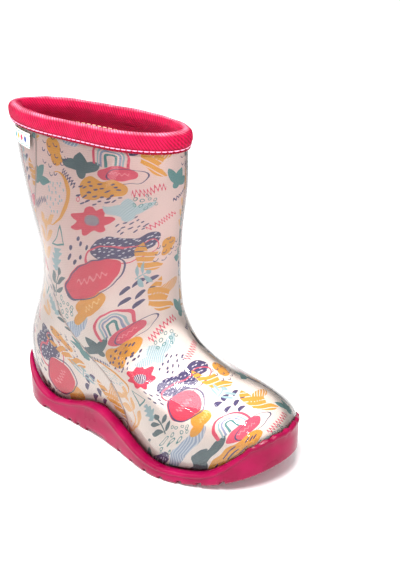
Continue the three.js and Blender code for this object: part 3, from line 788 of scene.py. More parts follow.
    def rainbow(self, x, y, half_width, half_height, turn=0.0):
        p = self.at(x, y, half_width, half_height, turn)
        across, down, _ = p.parts()
        radius = make_node(self.tree, "ShaderNodeCombineXYZ", across, (down - 0.15).lowest(0.0))
        radius = Wire(self.tree, radius.outputs[0]).vector("LENGTH")
        foot = down.below(0.85)
        for middle, thickness, colour in ((0.93, 0.07, CORAL), (0.68, 0.05, PALE_TEAL), (0.5, 0.06, GREY_BLUE),
                                          (0.25, 0.07, TEAL)):
            self.paint((radius - middle).size().below(thickness) * foot, colour)

    def arc(self, x, y, half_width, half_height, colour, turn=0.0):
        p = self.at(x, y, half_width, half_height, turn)
        across, down, _ = p.parts()
        rim = (p.vector("LENGTH") - 0.95).size()
        self.paint((rim + down * down * 0.16).below(0.16) * across.math("GREATER_THAN", -0.1), colour)
        mark, there = self.scatter(self.at(x, y), 2.6, half_width * 0.6, half_height * 0.7, 0.75, 0.4, 60.0)
        self.paint(self.disc(mark) * there, PALE_TEAL)

    def outlined_triangle(self, x, y, size, colour, turn=0.0):
        p = self.at(x, y, size, size, turn)
        across, down, _ = p.parts()
        reach = (across.size() * 1.6 - down * 0.9).highest(down * 1.5)
        self.paint((reach - 0.95).size().below(0.13), colour)

    def spiky(self, x, y, half_width, half_height, colour, turn=0.0):
        p = self.at(x, y, half_width, half_height, turn)
        across, down, _ = p.parts()
        teeth = (down * 13.0 + across.size() * 5.0).sine() * 0.22
        self.paint((across.size() + down * down * 0.8 + teeth).below(0.72), colour)

    def fan(self, x, y, half_width, half_height, colour, turn=0.0):
        """Striped petals opening upwards."""
        p = self.at(x, y, half_width, half_height, turn)
        petals = self.leaf(p, -0.1, -0.1, 0.34, 0.9, 0.0)
        for lean, share in ((-1, 0.95), (1, 0.95)):
            petals = petals.highest(self.leaf(p, lean * 0.46 - 0.1, 0.0, 0.3, share * 0.85, lean * 32.0))
        self.paint(petals * self.hatch(p, 5.0, 0.82), colour)


def paint_motifs(art):
    """One repeat of the print: places and half sizes in mm, turns in degrees."""
    grey = art.at(18, 5.5, 11, 6, -6)
    shape = art.blob(grey, (-0.3, 0, 0.62, 0.72, 0), (0.42, -0.1, 0.5, 0.62, 20))
    art.paint(shape, linear(150, 170, 196))
    art.paint(shape * art.hatch(grey, 9.0, -0.3), linear(206, 216, 226))
    art.three_leaves(20, 19.5, 12, 6, DARK_TEAL)
    gold = art.at(31, 95, 11, 6.2, -8)
    art.paint(art.blob(gold, (0.15, -0.1, 0.72, 0.8, 0), (-0.6, 0.45, 0.4, 0.42, 30)), MUSTARD)
    art.paint(art.squiggle(art.within(gold, 0.2, 0, 0.4, 0.5), 4.0, 0.3, 0.14), linear(246, 206, 130))
    art.rainbow(42, 12.0, 11.5, 7.0, 4)
    art.oval(46, 22.5, 12, 3.8, CORAL, NAVY, 2, (0.45, 0.3))
    gold = art.at(35, 31.5, 16, 7.2, 3)
    art.paint(art.blob(gold, (-0.35, 0, 0.55, 0.8, 0), (0.38, -0.1, 0.58, 0.62, -10)), MUSTARD)
    art.dashes(34, 34, 15, 7, NAVY, 3.6, (1.5, 0.45), -12)
    art.flower(30.5, 49, 13.5, 7.0, 7, RED_PINK, NAVY)
    dark = art.at(51, 66.5, 18, 8.2, 4)
    shape = art.blob(dark, (-0.45, -0.05, 0.52, 0.72, 0), (0.15, 0.2, 0.55, 0.68, 0), (0.7, 0.0, 0.36, 0.5, 0))
    art.paint(shape, NAVY)
    mark, there = art.scatter(art.at(51, 67), 2.6, 19, 8, 0.8, 0.3, 0.0)
    art.paint(shape * art.disc(mark) * there, linear(216, 214, 226))
    art.paint(art.blob(art.at(49, 70.5, 19, 7.0, 4), (-0.4, 0, 0.55, 0.75, 0), (0.2, 0.25, 0.6, 0.62, 0),
                       (0.72, 0, 0.3, 0.5, 0), outline=0.07), CORAL)
    art.three_leaves(53, 43.5, 13, 6.2, PALE_TEAL, 0, linear(206, 218, 222))
    art.stones(57, 3, 11, 7, NAVY)
    art.fan(68, 15, 13, 7, MUSTARD, 78)
    gold = art.at(74, 10, 10, 3.2, -6)
    art.paint(art.disc(gold) * art.hatch(gold, 6.0, 0.5), MUSTARD)
    art.word(65, 33.5, 9, 2.4, CORAL, -8)
    art.word(73, 56, 8.5, 2.4, CORAL, -22)
    art.dashes(57, 54.5, 10, 5, NAVY, 3.2, (1.2, 0.45), -20)
    art.fan(64, 81, 12, 6.5, MUSTARD, 62)
    art.sprig(61, 89.5, 8, 4.5, PALE_TEAL, 80)
    art.oval(33.5, 80.5, 14.5, 8.4, RED_PINK, NAVY, -6)
    gold = art.at(97, 14, 8, 7.5, 10)
    art.paint(art.blob(gold, (-0.1, -0.2, 0.6, 0.6, 0), (0.25, 0.4, 0.5, 0.5, 0)), MUSTARD)
    art.hooks(97, 15, 10, 10, NAVY, 20)
    gold = art.at(78, 76, 7.5, 6.5, -10)
    art.paint(art.blob(gold, (0, -0.2, 0.6, 0.62, 0), (-0.3, 0.4, 0.5, 0.45, 0)), MUSTARD)
    art.hooks(78, 78, 10, 8.5, NAVY, -10)
    art.arc(1.5, 38, 10, 12.5, MUSTARD)
    art.outlined_triangle(8.5, 57.5, 4.4, TEAL)
    art.spiky(8, 68, 5.0, 6.0, PALE_TEAL, 8)
    art.sprig(9.5, 79, 6.5, 6.0, DARK_TEAL, 12)
    art.rings(14, 91.5, 8, 6, TEAL)
    art.rings(63, 41, 6, 5, TEAL)
    art.dashes(22, 65.5, 6.5, 8, NAVY, 4.4, (0.85, 1.3), 0)
    art.sprig(92, 60, 6.5, 10, PEACH, 6, 3)
    dark = art.at(1, 95.5, 8.5, 5.5, 0)
    shape = art.blob(dark, (-0.2, 0, 0.7, 0.75, 0), (0.5, 0.2, 0.45, 0.5, 0))
    art.paint(shape, NAVY)
    mark, there = art.scatter(art.at(1, 95.5), 1.9, 9, 6, 0.42, 0.42, 0.0)
    art.paint(shape * art.disc(mark), linear(190, 190, 214))
    art.word(11.5, 28, 5.5, 1.8, NAVY, 40, 7.0, 0.5, 0.4)
    art.word(86, 41, 6, 1.8, NAVY, -20, 7.0, 0.5, 0.4)
    art.three_leaves(84, 28, 8, 6, TEAL, 30)
    art.three_leaves(90, 88, 7, 5, TEAL, -20)
    art.paint(art.ring(art.at(20, 37, 1, 1), 0.2), CORAL)


HAND_SHAKE = 3.2  # how far the drawn edges wander
KNIT_ROW = 1.15
KNIT_STITCH = 0.9


def printed_sock():
    """Knit textile with a repeat of plant, stone, rainbow and brush marks; warmer up the leg, with painted shade
    in the knit's hollows.
    """
    made, tree, shader = material("printed_sock", roughness=0.85)
    here = place(tree)
    level = here.parts()[2]
    cloth = attribute(tree, "cloth")
    wander = tree.nodes.new("ShaderNodeTexNoise")
    wander.inputs["Scale"].default_value = 0.11
    wander.inputs["Detail"].default_value = 0.0
    put(tree, wander.inputs["Vector"], here)
    shake = Wire(tree, wander.outputs["Color"]).vector("SUBTRACT", (0.5, 0.5, 0.5))
    shake = shake.vector("MULTIPLY", (HAND_SHAKE, HAND_SHAKE, 0.0))
    blush = (level + noise(tree, here, 0.02, 2) * 60.0).mapped(70.0, 190.0)
    ground = mix_colour(tree, blush, linear(240, 231, 224), linear(236, 208, 203))
    art = Print(tree, cloth.vector("ADD", shake), ground)
    paint_motifs(art)
    across, down, _ = cloth.parts()
    knit = down.wave(KNIT_ROW)
    stitch = (across * (2 * math.pi / KNIT_STITCH) + down.wave(2 * KNIT_ROW) * 1.5).sine()
    knit_relief = knit * 0.5 + stitch * 0.3 + noise(tree, here, 1.2, 3) * 1.2
    # The knit is darker where its relief is low: painted shade in the hollows between its rows and stitches, and
    # in the low patches of the noise.
    colour = mix_colour(tree, knit_relief.mapped(0.9, -0.6, 0.0, 0.16), art.colour, linear(150, 120, 130))
    dress(tree, shader, colour, bump(tree, knit_relief, 0.15, 0.5))
    return made


LABEL_WEAVE = 0.6
BLOCK_START = 3.4
BLOCK_STEP = 3.7
BLOCK_ROW = 4.2


def woven_label():
    """White woven tape with a row of plain coloured blocks between two waves."""
    made, tree, shader = material("woven_label", roughness=0.7, specular_ior_level=0.2)
    cloth = attribute(tree, "cloth")
    along, down, _ = cloth.parts()
    weave = along.wave(LABEL_WEAVE) * down.wave(LABEL_WEAVE)
    colour = mix_colour(tree, weave.mapped(-1.0, 1.0), linear(206, 204, 200), linear(232, 230, 226))
    blocks = (linear(60, 150, 160), linear(220, 160, 60), linear(214, 60, 90), linear(60, 80, 140))
    for k, block in enumerate(blocks):
        x = (along - (BLOCK_START + BLOCK_STEP * k)).size() * 0.8
        y = (down - BLOCK_ROW).size() * 0.55
        colour = mix_colour(tree, (x + y).below(1.25) * x.below(1.0), colour, block)
    for level in (1.1, 7.6):
        wave = (down + (along * 1.6).sine() * 0.25 - level).size().below(0.2)
        colour = mix_colour(tree, wave, colour, linear(60, 130, 130))
    dress(tree, shader, colour, bump(tree, weave, 0.15, 0.6))
    return made


PVC = moulded_pvc()
CLEAR = clear_pvc("clear_pvc", True)
CLEAR_INSIDE = clear_pvc("clear_pvc_inner_face", False)
BINDING = twill("binding_twill", linear(124, 0, 34), linear(196, 0, 66))
FLEECE = fleece()
PRINT = printed_sock()
PALE_THREAD = thread("pale_thread", linear(226, 110, 150), linear(250, 170, 196))
CREAM_THREAD = thread("cream_thread", linear(222, 160, 120), linear(255, 226, 190))
# A tan thread, darkened as painted shade for the fine shadow line that runs along the seam.
SHADED_SEAM_THREAD = thread("shaded_seam_thread", linear(150, 120, 116), linear(206, 184, 176))
BOARD = matt("fibre_board", linear(214, 208, 198), linear(238, 233, 224), 0.8, 0.2)
COUNTER = matt("counter_board", linear(206, 194, 172), linear(226, 216, 198), 0.7, 0.2)
FOAM = matt("footbed_foam", linear(238, 200, 208), linear(250, 222, 228), 1.2, 0.3)
COVER = matt("footbed_cover", linear(196, 20, 70), linear(232, 60, 112), 1.6, 0.4)
LABEL = woven_label()


# ---------------------------------------------------------------- skins, plates and patches
def two_faced(points_of, turns, levels, outer_depth, inner_depth, outer_lift=0.0, inner_lift=0.0):
    """Rings of an outer face from the top down, then of an inner face from the bottom up."""
    t, v = np.meshgrid(turns, levels)
    outer = points_of(t, v, outer_depth(t, v), outer_lift)
    inner = points_of(t[::-1], v[::-1], inner_depth(t[::-1], v[::-1]), inner_lift)
    return np.concatenate([outer, inner]), np.concatenate([t, t[::-1]]), np.concatenate([v, v[::-1]])


def steady(depth):
    return lambda turn, level: np.full_like(level, depth)


SKIN_COLUMNS = 288
SKIN_ROWS = 150


def skin(name, outer_depth, inner_depth, outer_lift, inner_lift, floor, shader, replaces, lines=None):
    turns = np.arange(SKIN_COLUMNS) / SKIN_COLUMNS
    levels = np.linspace(1, 0, SKIN_ROWS)
    rings, t, v = two_faced(layer, turns, levels, outer_depth, inner_depth, outer_lift, inner_lift)
    quads = grid_quads(len(rings), SKIN_COLUMNS, closed=True)
    if floor:
        turning = (SKIN_ROWS - 1) * SKIN_COLUMNS
        band = np.arange(turning, turning + SKIN_COLUMNS)
        quads = np.delete(quads, band, axis=0)
        quads = np.concatenate([quads, cap_quads(turning, SKIN_COLUMNS),
                                cap_quads(turning + SKIN_COLUMNS, SKIN_COLUMNS)[:, ::-1]])
    attributes = {"lines": lines(t, v).reshape(-1, 3)} if lines else None
    return add_piece(name, rings.reshape(-1, 3), quads, shader, replaces, attributes)


def plate(name, depth_at, bottom, top, shader, replaces, crown=0.0, columns=180, rows=14):
    """A flat piece on the floor of the boot, with eased edges and a top that may crown a little."""
    turns = np.arange(columns) / columns
    ease = min(0.45 * (top - bottom), 1.2)
    zero = np.zeros_like(turns)
    steps = [(depth_at(turns) + ease, bottom), (depth_at(turns) + 0.3 * ease, bottom + 0.3 * ease),
             (depth_at(turns), bottom + ease), (depth_at(turns), top - ease),
             (depth_at(turns) + 0.3 * ease, top - 0.3 * ease), (depth_at(turns) + ease, top)]
    rings = []
    for depth, height in steps:
        ring = layer(turns, zero, depth)
        ring[:, 2] += height
        rings.append(ring)
    axis = (rings[-1] + rings[-1][(-np.arange(columns)) % columns]) / 2
    for k in range(1, rows):
        share = k / rows
        ring = rings[len(steps) - 1] * (1 - share) + axis * share
        ring[:, 2] += crown * math.sin(share * math.pi / 2)
        rings.append(ring)
    rings = np.stack(rings)
    quads = np.concatenate([
        grid_quads(len(rings), columns),
        cap_quads((len(rings) - 1) * columns, columns),
        cap_quads(0, columns)[:, ::-1],
    ])
    return add_piece(name, rings.reshape(-1, 3), quads, shader, replaces)


def patch(name, turns, levels, depths, shader, replaces, cloth=None, offset=0.0):
    """A closed slab between two depths, on a grid of turns and levels given as two arrays of one shape."""
    rows, columns = turns.shape
    faces = [layer(turns, levels, np.broadcast_to(depth, turns.shape) - offset) for depth in depths]
    points = np.concatenate(faces).reshape(-1, 3)
    front = grid_quads(rows, columns, around=False)
    back = (front + rows * columns)[:, ::-1]
    index = np.arange(rows * columns).reshape(rows, columns)
    border = np.concatenate([index[0, :], index[1:, -1], index[-1, -2::-1], index[-2:0:-1, 0]])
    following = np.roll(border, -1)
    side = np.stack([following, border, border + rows * columns, following + rows * columns], axis=-1)
    attributes = None if cloth is None else {"cloth": np.concatenate([cloth, cloth]).reshape(-1, 3)}
    return add_piece(name, points, np.concatenate([front, back, side]), shader, replaces, attributes)


# Turn of the lining's seam by level: off the toe to the side, back at the ankle and forward below the rim.
LINING_SEAM = np.array([[0.1, 0.44], [0.2, 0.34], [0.3, 0.3], [0.55, 0.245], [0.85, 0.35], [1.0, 0.34]])
FAR_OFF = 9.0


def line_distances(turn, level):
    """Distances to the two faint lines under the shell: the lining's seam and the edge of the heel counter."""
    side = side_turn(turn)
    lining_seam = (side - curve_of(LINING_SEAM, 1, level)) * LEG_PER_TURN
    counter_edge = np.where(side > COUNTER_TURN, FAR_OFF, (level - COUNTER_LEVELS[1]) * LEG_PER_LEVEL)
    return np.stack([lining_seam, counter_edge, np.zeros_like(side)], axis=-1)


shell = skin("clear_shell", steady(0), steady(SHELL_WALL), 0.0, SHELL_WALL, True, [CLEAR, CLEAR_INSIDE],
             ["upper_shell"], line_distances)
inner_faces = np.zeros(len(shell.data.polygons), bool)
inner_faces[(SKIN_ROWS - 1) * SKIN_COLUMNS:-SKIN_COLUMNS] = True
inner_faces[-SKIN_COLUMNS // 2:] = True
shell.data.polygons.foreach_set("material_index", inner_faces.astype(np.int32))


TUFT_HEIGHT = 0.22


def lining_depth(turn, level):
    return LINING_DEPTH + room_for_counter(turn, level)


def lining_inner_depth(turn, level):
    """The pile is uneven, and pressed flat under the folded twill."""
    pressed = smooth(INNER_HEM_LEVEL - 0.03, INNER_HEM_LEVEL - 0.004, level)
    x, y, z = np.moveaxis(last_point(turn, level), -1, 0)
    tufts = TUFT_HEIGHT * np.sin(x * 1.1 + 2 * np.sin(z * 0.31))
    tufts = tufts * np.sin(y * 0.9 + 2 * np.sin(z * 0.43 + x * 0.2))
    tufts = tufts * np.sin(z + y * 0.4)
    free = LINING_WALL + tufts * smooth(0.06, 0.12, level)
    flat = SEEN_INNER_DEPTH - CLEARANCE - LINING_DEPTH
    return lining_depth(turn, level) + free * (1 - pressed) + flat * pressed


skin("fleece_pile", lining_depth, lining_inner_depth, LINING_LIFT, LINING_LIFT, False, FLEECE,
     ["fleece_lining"])


# How the print lies on the two panels of the sock
ROW_LEAN_AT_RIM = 8.0  # degrees
ROW_LEAN_ON_FOOT = 55.0
ROW_TURN_LENGTH = 160.0  # the rows turn from the one lean to the other over this much of the front line
CLOTH_LET_OUT = 1.1
CLOTH_SHEAR = 0.1
FRONT_PRINT_START = (90.0, 0.0)
BACK_PRINT_START = (92.0, 82.0)
BACK_PRINT_LEAN = 42.0
PAST_TOE_SLOPE = 0.3


def front_cloth(turns, levels):
    """Place on the flat cloth of each point of the front panel, in mm.

    Seen from the side, the print's rows are straight lines. They lean forward more and more down the instep, and
    each meets the front line at its own distance from the rim. The cloth is let out a little over the instep.
    """
    front_levels = np.linspace(1, 0, 400)
    front = last_point(0.5, front_levels)[:, 1:]
    run = np.concatenate([[0], np.cumsum(np.linalg.norm(np.diff(front, axis=0), axis=1))])
    rows_at = np.linspace(-40, 300, 681)
    turned = smooth(0, ROW_TURN_LENGTH, rows_at)
    lean = np.radians(ROW_LEAN_AT_RIM + (ROW_LEAN_ON_FOOT - ROW_LEAN_AT_RIM) * turned)
    past_toe = np.maximum(rows_at - run[-1], 0)
    row_y = np.interp(rows_at, run, front[:, 0]) - past_toe * PAST_TOE_SLOPE
    row_z = np.interp(rows_at, run, front[:, 1]) - past_toe - np.minimum(rows_at, 0)
    row_up = np.stack([np.sin(lean), np.cos(lean)])
    points = last_point(turns, levels)

    def above_row(row):
        over_y = (points[..., 1] - np.interp(row, rows_at, row_y)) * np.interp(row, rows_at, row_up[0])
        over_z = (points[..., 2] - np.interp(row, rows_at, row_z)) * np.interp(row, rows_at, row_up[1])
        return over_y + over_z > 0

    row = turning_place(above_row, np.full(turns.shape, rows_at[0]), np.full(turns.shape, rows_at[-1]), 16)
    down = row * CLOTH_LET_OUT
    up = np.stack([np.zeros_like(row), np.interp(row, rows_at, row_up[0]), np.interp(row, rows_at, row_up[1])],
                  axis=-1)
    along = unit(np.cross(outward(turns, levels), up))
    steps = (np.diff(points, axis=1) * (along[:, 1:] + along[:, :-1]) / 2).sum(axis=-1)
    across = -np.concatenate([np.zeros((len(steps), 1)), np.cumsum(steps, axis=1)], axis=1)
    for row_number in range(len(across)):
        across[row_number] -= np.interp(0.5, turns[row_number], across[row_number])
    across = across * np.sign(across[0, -1] - across[0, 0]) - CLOTH_SHEAR * down
    return np.stack([across + FRONT_PRINT_START[0], down + FRONT_PRINT_START[1], np.zeros_like(down)], axis=-1)


def back_cloth(turns, levels):
    """The back panel's rows lie level round the heel; distances run from the back seam line and from the rim."""
    points = last_point(turns, levels)
    steps = np.linalg.norm(np.diff(points, axis=1), axis=-1)
    across = np.concatenate([np.zeros((len(steps), 1)), np.cumsum(steps, axis=1)], axis=1)
    across -= across[:, -1:]
    down = np.concatenate([np.zeros((1, turns.shape[1])),
                           np.cumsum(np.linalg.norm(np.diff(points, axis=0), axis=-1), axis=0)])
    down = np.broadcast_to(down.mean(axis=1, keepdims=True), down.shape)
    lean = math.radians(BACK_PRINT_LEAN)
    x = across * math.cos(lean) - down * math.sin(lean) + BACK_PRINT_START[0]
    y = across * math.sin(lean) + down * math.cos(lean) + BACK_PRINT_START[1]
    return np.stack([x, y, np.zeros_like(x)], axis=-1)


def sock_panel(name, from_turn, to_turn, columns, cloth_at, replaces):
    levels = np.linspace(1, 0, 120)[:, None]
    share = np.linspace(0, 1, columns)[None, :]
    start, end = from_turn(levels), to_turn(levels)
    turns = start + (end - start) * share
    levels = np.broadcast_to(levels, turns.shape)
    return patch(name, turns, levels, (SOCK_DEPTH, SOCK_INNER_DEPTH), PRINT, replaces,
                 cloth_at(turns, levels))


sock_panel("sock_back", lambda v: seam_turn(-1, v, -PANEL_EDGE), lambda v: seam_turn(1, v, -PANEL_EDGE), 120,
           back_cloth, ["sock_back_panel"])
sock_panel("sock_front", lambda v: seam_turn(1, v, PANEL_EDGE), lambda v: 1 + seam_turn(-1, v, PANEL_EDGE), 200,
           front_cloth, ["sock_front_panel"])
RIBBON_COLUMNS = 7
RIBBON_CROWN = 0.12


def seam_ribbon(side, name):
    """The seam between the panels: a ribbon of thread that crowns along its middle."""
    levels = np.linspace(1, 0, 260)[:, None]
    offsets = SEAM_WIDTH * np.linspace(-0.5, 0.5, RIBBON_COLUMNS)
    turns = np.concatenate([seam_turn(side, levels, offset) for offset in offsets], axis=1)
    levels = np.broadcast_to(levels, turns.shape)
    across = np.broadcast_to(np.linspace(-1, 1, RIBBON_COLUMNS), turns.shape)
    cloth = np.stack([levels * LEG_PER_LEVEL, across, across * 0], axis=-1)
    patch("sock_seam_" + name, turns, levels, (SOCK_DEPTH, SOCK_INNER_DEPTH), SHADED_SEAM_THREAD,
          ["seam_" + name], cloth, RIBBON_CROWN * (1 - across**2))


seam_ribbon(1, "lateral")
seam_ribbon(-1, "medial")

counter_turns, counter_levels = np.meshgrid(np.linspace(-COUNTER_TURN, COUNTER_TURN, 90),
                                            np.linspace(COUNTER_LEVELS[1], COUNTER_LEVELS[0], 24))
patch("counter_board", counter_turns, counter_levels, (LINING_DEPTH, LINING_DEPTH + COUNTER_WALL), COUNTER,
      ["heel_counter"])


def footbed_depth(turn):
    return LINING_INNER_DEPTH + room_for_counter(turn, 0.0) + FOOTBED_SIDE_CLEARANCE


plate("strobel_board", lambda t: np.full_like(t, SOCK_INNER_DEPTH + CLEARANCE), SOCK_SOLE_LIFT, SOCK_SOLE_TOP,
      BOARD, ["sock_sole"])
foam = plate("footbed_foam_pad", footbed_depth, FOAM_LIFT, FOAM_LIFT + FOAM_WALL, FOAM,
             ["footbed_foam"])
plate("footbed_top", footbed_depth, COVER_LIFT, COVER_LIFT + COVER_WALL, COVER,
      ["footbed_cover"])


# ---------------------------------------------------------------- threads
def stitch_row(name, centre_at, side_at, length, gap, shader, replaces, dip=0.45):
    """Separate stitches along a line: each is a thread that comes up out of the cloth and goes back in."""
    turns = np.linspace(0, 1, 2001)
    line = centre_at(turns)
    run = np.concatenate([[0], np.cumsum(np.linalg.norm(np.diff(line, axis=0), axis=1))])
    count = int(round(run[-1] / (length + gap)))
    pitch = run[-1] / count
    sides, steps = 8, 9
    points, cloth, quads = [], [], []
    for k in range(count):
        share = np.linspace(-0.5, 0.5, steps)
        at = np.interp((k + 0.5) * pitch + share * (pitch - gap), run, turns)
        side = side_at(at)
        centre = centre_at(at) - side * (dip * (2 * np.abs(share)) ** 3)[:, None]
        tangent = unit(np.gradient(centre, axis=0))
        up = unit(np.cross(tangent, side))
        round_off = np.sqrt(np.clip(1 - (2 * np.abs(share)) ** 8, 0.05, 1)) * THREAD_RADIUS
        angle = 2 * np.pi * np.arange(sides) / sides
        ring = centre[:, None] + (np.cos(angle)[None, :, None] * side[:, None]
                                  + np.sin(angle)[None, :, None] * up[:, None]) * round_off[:, None, None]
        start = k * sides * steps
        points.append(ring.reshape(-1, 3))
        grid = np.meshgrid(share * pitch, angle / (2 * np.pi), indexing="ij")
        cloth.append(np.stack([grid[0], grid[1], grid[0] * 0], axis=-1).reshape(-1, 3))
        quads.append(grid_quads(steps, sides) + start)
        quads.append(cap_quads(start, sides)[:, ::-1])
        quads.append(cap_quads(start + (steps - 1) * sides, sides))
    return add_piece(name, np.concatenate(points), np.concatenate(quads), shader, replaces,
                     {"cloth": np.concatenate(cloth)})


OFF_FACE = CLEARANCE + THREAD_RADIUS
OUTER_STITCH_DEPTH = OUTER_FACE - OFF_FACE + 0.25  # drawn down into the twill
INNER_STITCH_DEPTH = SEEN_INNER_FACE + 0.1 + OFF_FACE
stitch_row("stitch_row_outer", lambda t: layer(t, SEEN_STITCH_LEVEL, OUTER_STITCH_DEPTH),
           lambda t: outward(t, SEEN_STITCH_LEVEL), 3.2, 0.3, PALE_THREAD, ["binding_stitch_outer"])
stitch_row("stitch_row_inner", lambda t: layer(t, INNER_STITCH_LEVEL, INNER_STITCH_DEPTH),
           lambda t: -outward(t, INNER_STITCH_LEVEL), 2.6, 1.3, CREAM_THREAD, ["binding_stitch_inner"])
strobel_depth = SOCK_INNER_DEPTH + CLEARANCE + THREAD_RADIUS
stitch_row("strobel_thread", lambda t: layer(t, 0.0, strobel_depth) + [0, 0, STROBEL_LIFT],
           lambda t: np.broadcast_to([0.0, 0.0, 1.0], t.shape + (3,)), 2.2, 0.7, CREAM_THREAD,
           ["strobel_stitch"], dip=0.2)


# ---------------------------------------------------------------- the bound collar
def binding_section():
    """(level, depth) round the twill's section: hem lip and roll outside, over the rim, longer hem inside."""
    rim = 1 / LEG_PER_LEVEL
    top = CLEARANCE + BINDING_WALL + 0.8
    outside = [
        (SEEN_LIP_LEVEL, -CLEARANCE), (SEEN_LIP_LEVEL, OUTER_FACE + 0.2),
        (SEEN_LIP_LEVEL + 0.002, OUTER_FACE - 0.15),
        (0.9565, OUTER_FACE - 0.1), (0.9595, OUTER_FACE + 0.2), (0.9635, OUTER_FACE + 0.2),
        (0.967, OUTER_FACE - 0.4), (0.972, OUTER_FACE - 0.85), (0.979, OUTER_FACE - BINDING_SWELL),
        (0.988, OUTER_FACE - BINDING_SWELL), (0.996, OUTER_FACE - 0.8), (1 + 0.3 * rim, OUTER_FACE - 0.4),
        (1 + 1.0 * rim, OUTER_FACE + 0.3), (1 + 1.7 * rim, OUTER_FACE + 1.3), (1 + top * rim, OUTER_FACE + 2.6),
    ]
    inside = [
        (1 + top * rim, SEEN_INNER_FACE - 2.4), (1 + 1.7 * rim, SEEN_INNER_FACE - 1.1),
        (1 + 0.9 * rim, SEEN_INNER_FACE - 0.2), (1 + 0.1 * rim, SEEN_INNER_FACE + 0.4),
        (0.99, SEEN_INNER_FACE + 0.75), (0.975, SEEN_INNER_FACE + 0.75),
        (0.962, SEEN_INNER_FACE + 0.5), (INNER_STITCH_LEVEL, SEEN_INNER_FACE + 0.1),
        (INNER_HEM_LEVEL + 0.003, SEEN_INNER_FACE), (INNER_HEM_LEVEL, SEEN_INNER_FACE - 0.2),
        (INNER_HEM_LEVEL, SEEN_INNER_DEPTH), (0.96, SEEN_INNER_DEPTH), (1.0, SEEN_INNER_DEPTH),
        (1 + CLEARANCE * rim, SEEN_INNER_DEPTH - 0.3), (1 + CLEARANCE * rim, 0.0), (1.0, -CLEARANCE),
        (0.97, -CLEARANCE),
    ]
    return np.array(outside + inside)


def refined(section, times):
    """The closed section with more points on a Catmull-Rom curve between each two."""
    before, after, second = (np.roll(section, k, axis=0) for k in (1, -1, -2))
    rows = []
    for t in np.arange(times) / times:
        squared = 2 * before - 5 * section + 4 * after - second
        cubed = 3 * section - before - 3 * after + second
        rows.append(0.5 * (2 * section + (after - before) * t + squared * t**2 + cubed * t**3))
    return np.stack(rows, axis=1).reshape(-1, 2)


GATHERS = 96
GATHER_HEIGHT = 0.30


def collar_binding():
    """The twill swept round the rim; it gathers at the two narrow ends and is a little uneven all round."""
    columns = 560
    turns = np.arange(columns) / columns
    section = refined(binding_section(), 3)
    t, level = np.meshgrid(turns, section[:, 0])
    depth = np.broadcast_to(section[:, 1][:, None], t.shape)
    ends = smooth(0.40, 0.49, side_turn(t)) + smooth(0.09, 0.02, side_turn(t)) * 0.6
    roll = smooth(0.965, 0.976, level)
    outwards = np.where(depth < (OUTER_FACE + INNER_FACE) / 2, -1.0, 1.0)
    gather = GATHER_HEIGHT * np.sin(2 * np.pi * t * GATHERS + 3 * np.sin(2 * np.pi * t * 5)) * ends
    uneven = 0.22 * np.sin(2 * np.pi * t * 7 + 1.3) + 0.16 * np.sin(2 * np.pi * t * 17 + 0.4)
    rings = layer(t, level, depth + outwards * roll * (gather + uneven))
    run = np.linalg.norm(np.roll(rings, -1, axis=1) - rings, axis=-1)
    along = np.cumsum(run.mean(axis=0))[None, :] + np.zeros_like(t)
    around = np.concatenate([[0], np.cumsum(np.linalg.norm(np.diff(rings, axis=0), axis=-1).mean(axis=1))])
    cloth = np.stack([along, np.broadcast_to(around[:, None], t.shape), t], axis=-1)
    quads = grid_quads(len(section), columns, closed=True)
    return add_piece("collar_twill", rings.reshape(-1, 3), quads, BINDING, ["collar_binding"],
                     {"cloth": cloth.reshape(-1, 3)})


collar_binding()

LABEL_WALL = 0.5
LABEL_PER_TURN = 260.0  # how far one turn, and one level, runs over the label
LABEL_PER_LEVEL = 165.0
label_turns, label_levels = np.meshgrid(np.linspace(*LABEL_TURNS, 40), np.linspace(*LABEL_LEVELS[::-1], 24))
label_cloth = np.stack([
    (label_turns - LABEL_TURNS[0]) * LABEL_PER_TURN,
    (LABEL_LEVELS[1] - label_levels) * LABEL_PER_LEVEL,
    label_turns * 0,
], axis=-1)
patch("woven_label", label_turns, label_levels, (-CLEARANCE - LABEL_WALL, -CLEARANCE), LABEL,
      ["side_label"], label_cloth)


# ---------------------------------------------------------------- the outsole
def tread_height(distance):
    """Height of the underside above the tread's lowest plane, at a distance from the heel."""
    height = np.zeros_like(distance)
    for middle, width in TREAD_GROOVES:
        height = np.where(np.abs(distance - middle) < width / 2, GROOVE_DEPTH, height)
    start, end = ARCH
    slope = np.clip((end + ARCH_SLOPE - distance) / (2 * ARCH_SLOPE), 0, 1) * ARCH_DEPTH
    return np.where((distance > start) & (distance < end + ARCH_SLOPE), slope, height)


def sole_columns():
    """Turns whose points fall on both edges of every groove, so that the groove walls stand upright."""
    edge = 0.04
    marks = []
    for middle, width in TREAD_GROOVES:
        for wall_at in (middle - width / 2, middle + width / 2):
            marks += [wall_at - edge, wall_at + edge]
    marks += [ARCH[0] - edge, ARCH[0] + edge, ARCH[1] - ARCH_SLOPE, ARCH[1] + ARCH_SLOPE]
    marks_share = np.array(marks) / SOLE_LENGTH
    marks_turn = np.arccos(1 - 2 * marks_share) / (2 * np.pi)
    spread = np.linspace(0, 0.5, 171)
    keep = spread[np.abs(spread[:, None] - marks_turn[None, :]).min(axis=1) > 0.0009]
    half = np.unique(np.concatenate([keep, marks_turn, [0, 0.5]]))
    return np.concatenate([half, 1 - half[-2:0:-1]])


# Side of the sole, from the tread up: outset and height of the rounded foot, then outset and distance below
# the wall's top edge of the welt that swells out under it.
SOLE_FOOT = ((-2.0, 0.0), (-1.2, 0.35), (-0.55, 0.95), (-0.12, 1.7), (0.0, 2.4))
WELT = ((0.12, 2.9), (0.72, 2.45), (0.9, 2.1), (0.9, 1.2), (0.8, 0.75), (0.5, 0.3), (0.1, 0.05))
WELT_BASE = 3.15
WALL_BULGE = 0.25
SEAT_BELOW_EDGE = 0.25


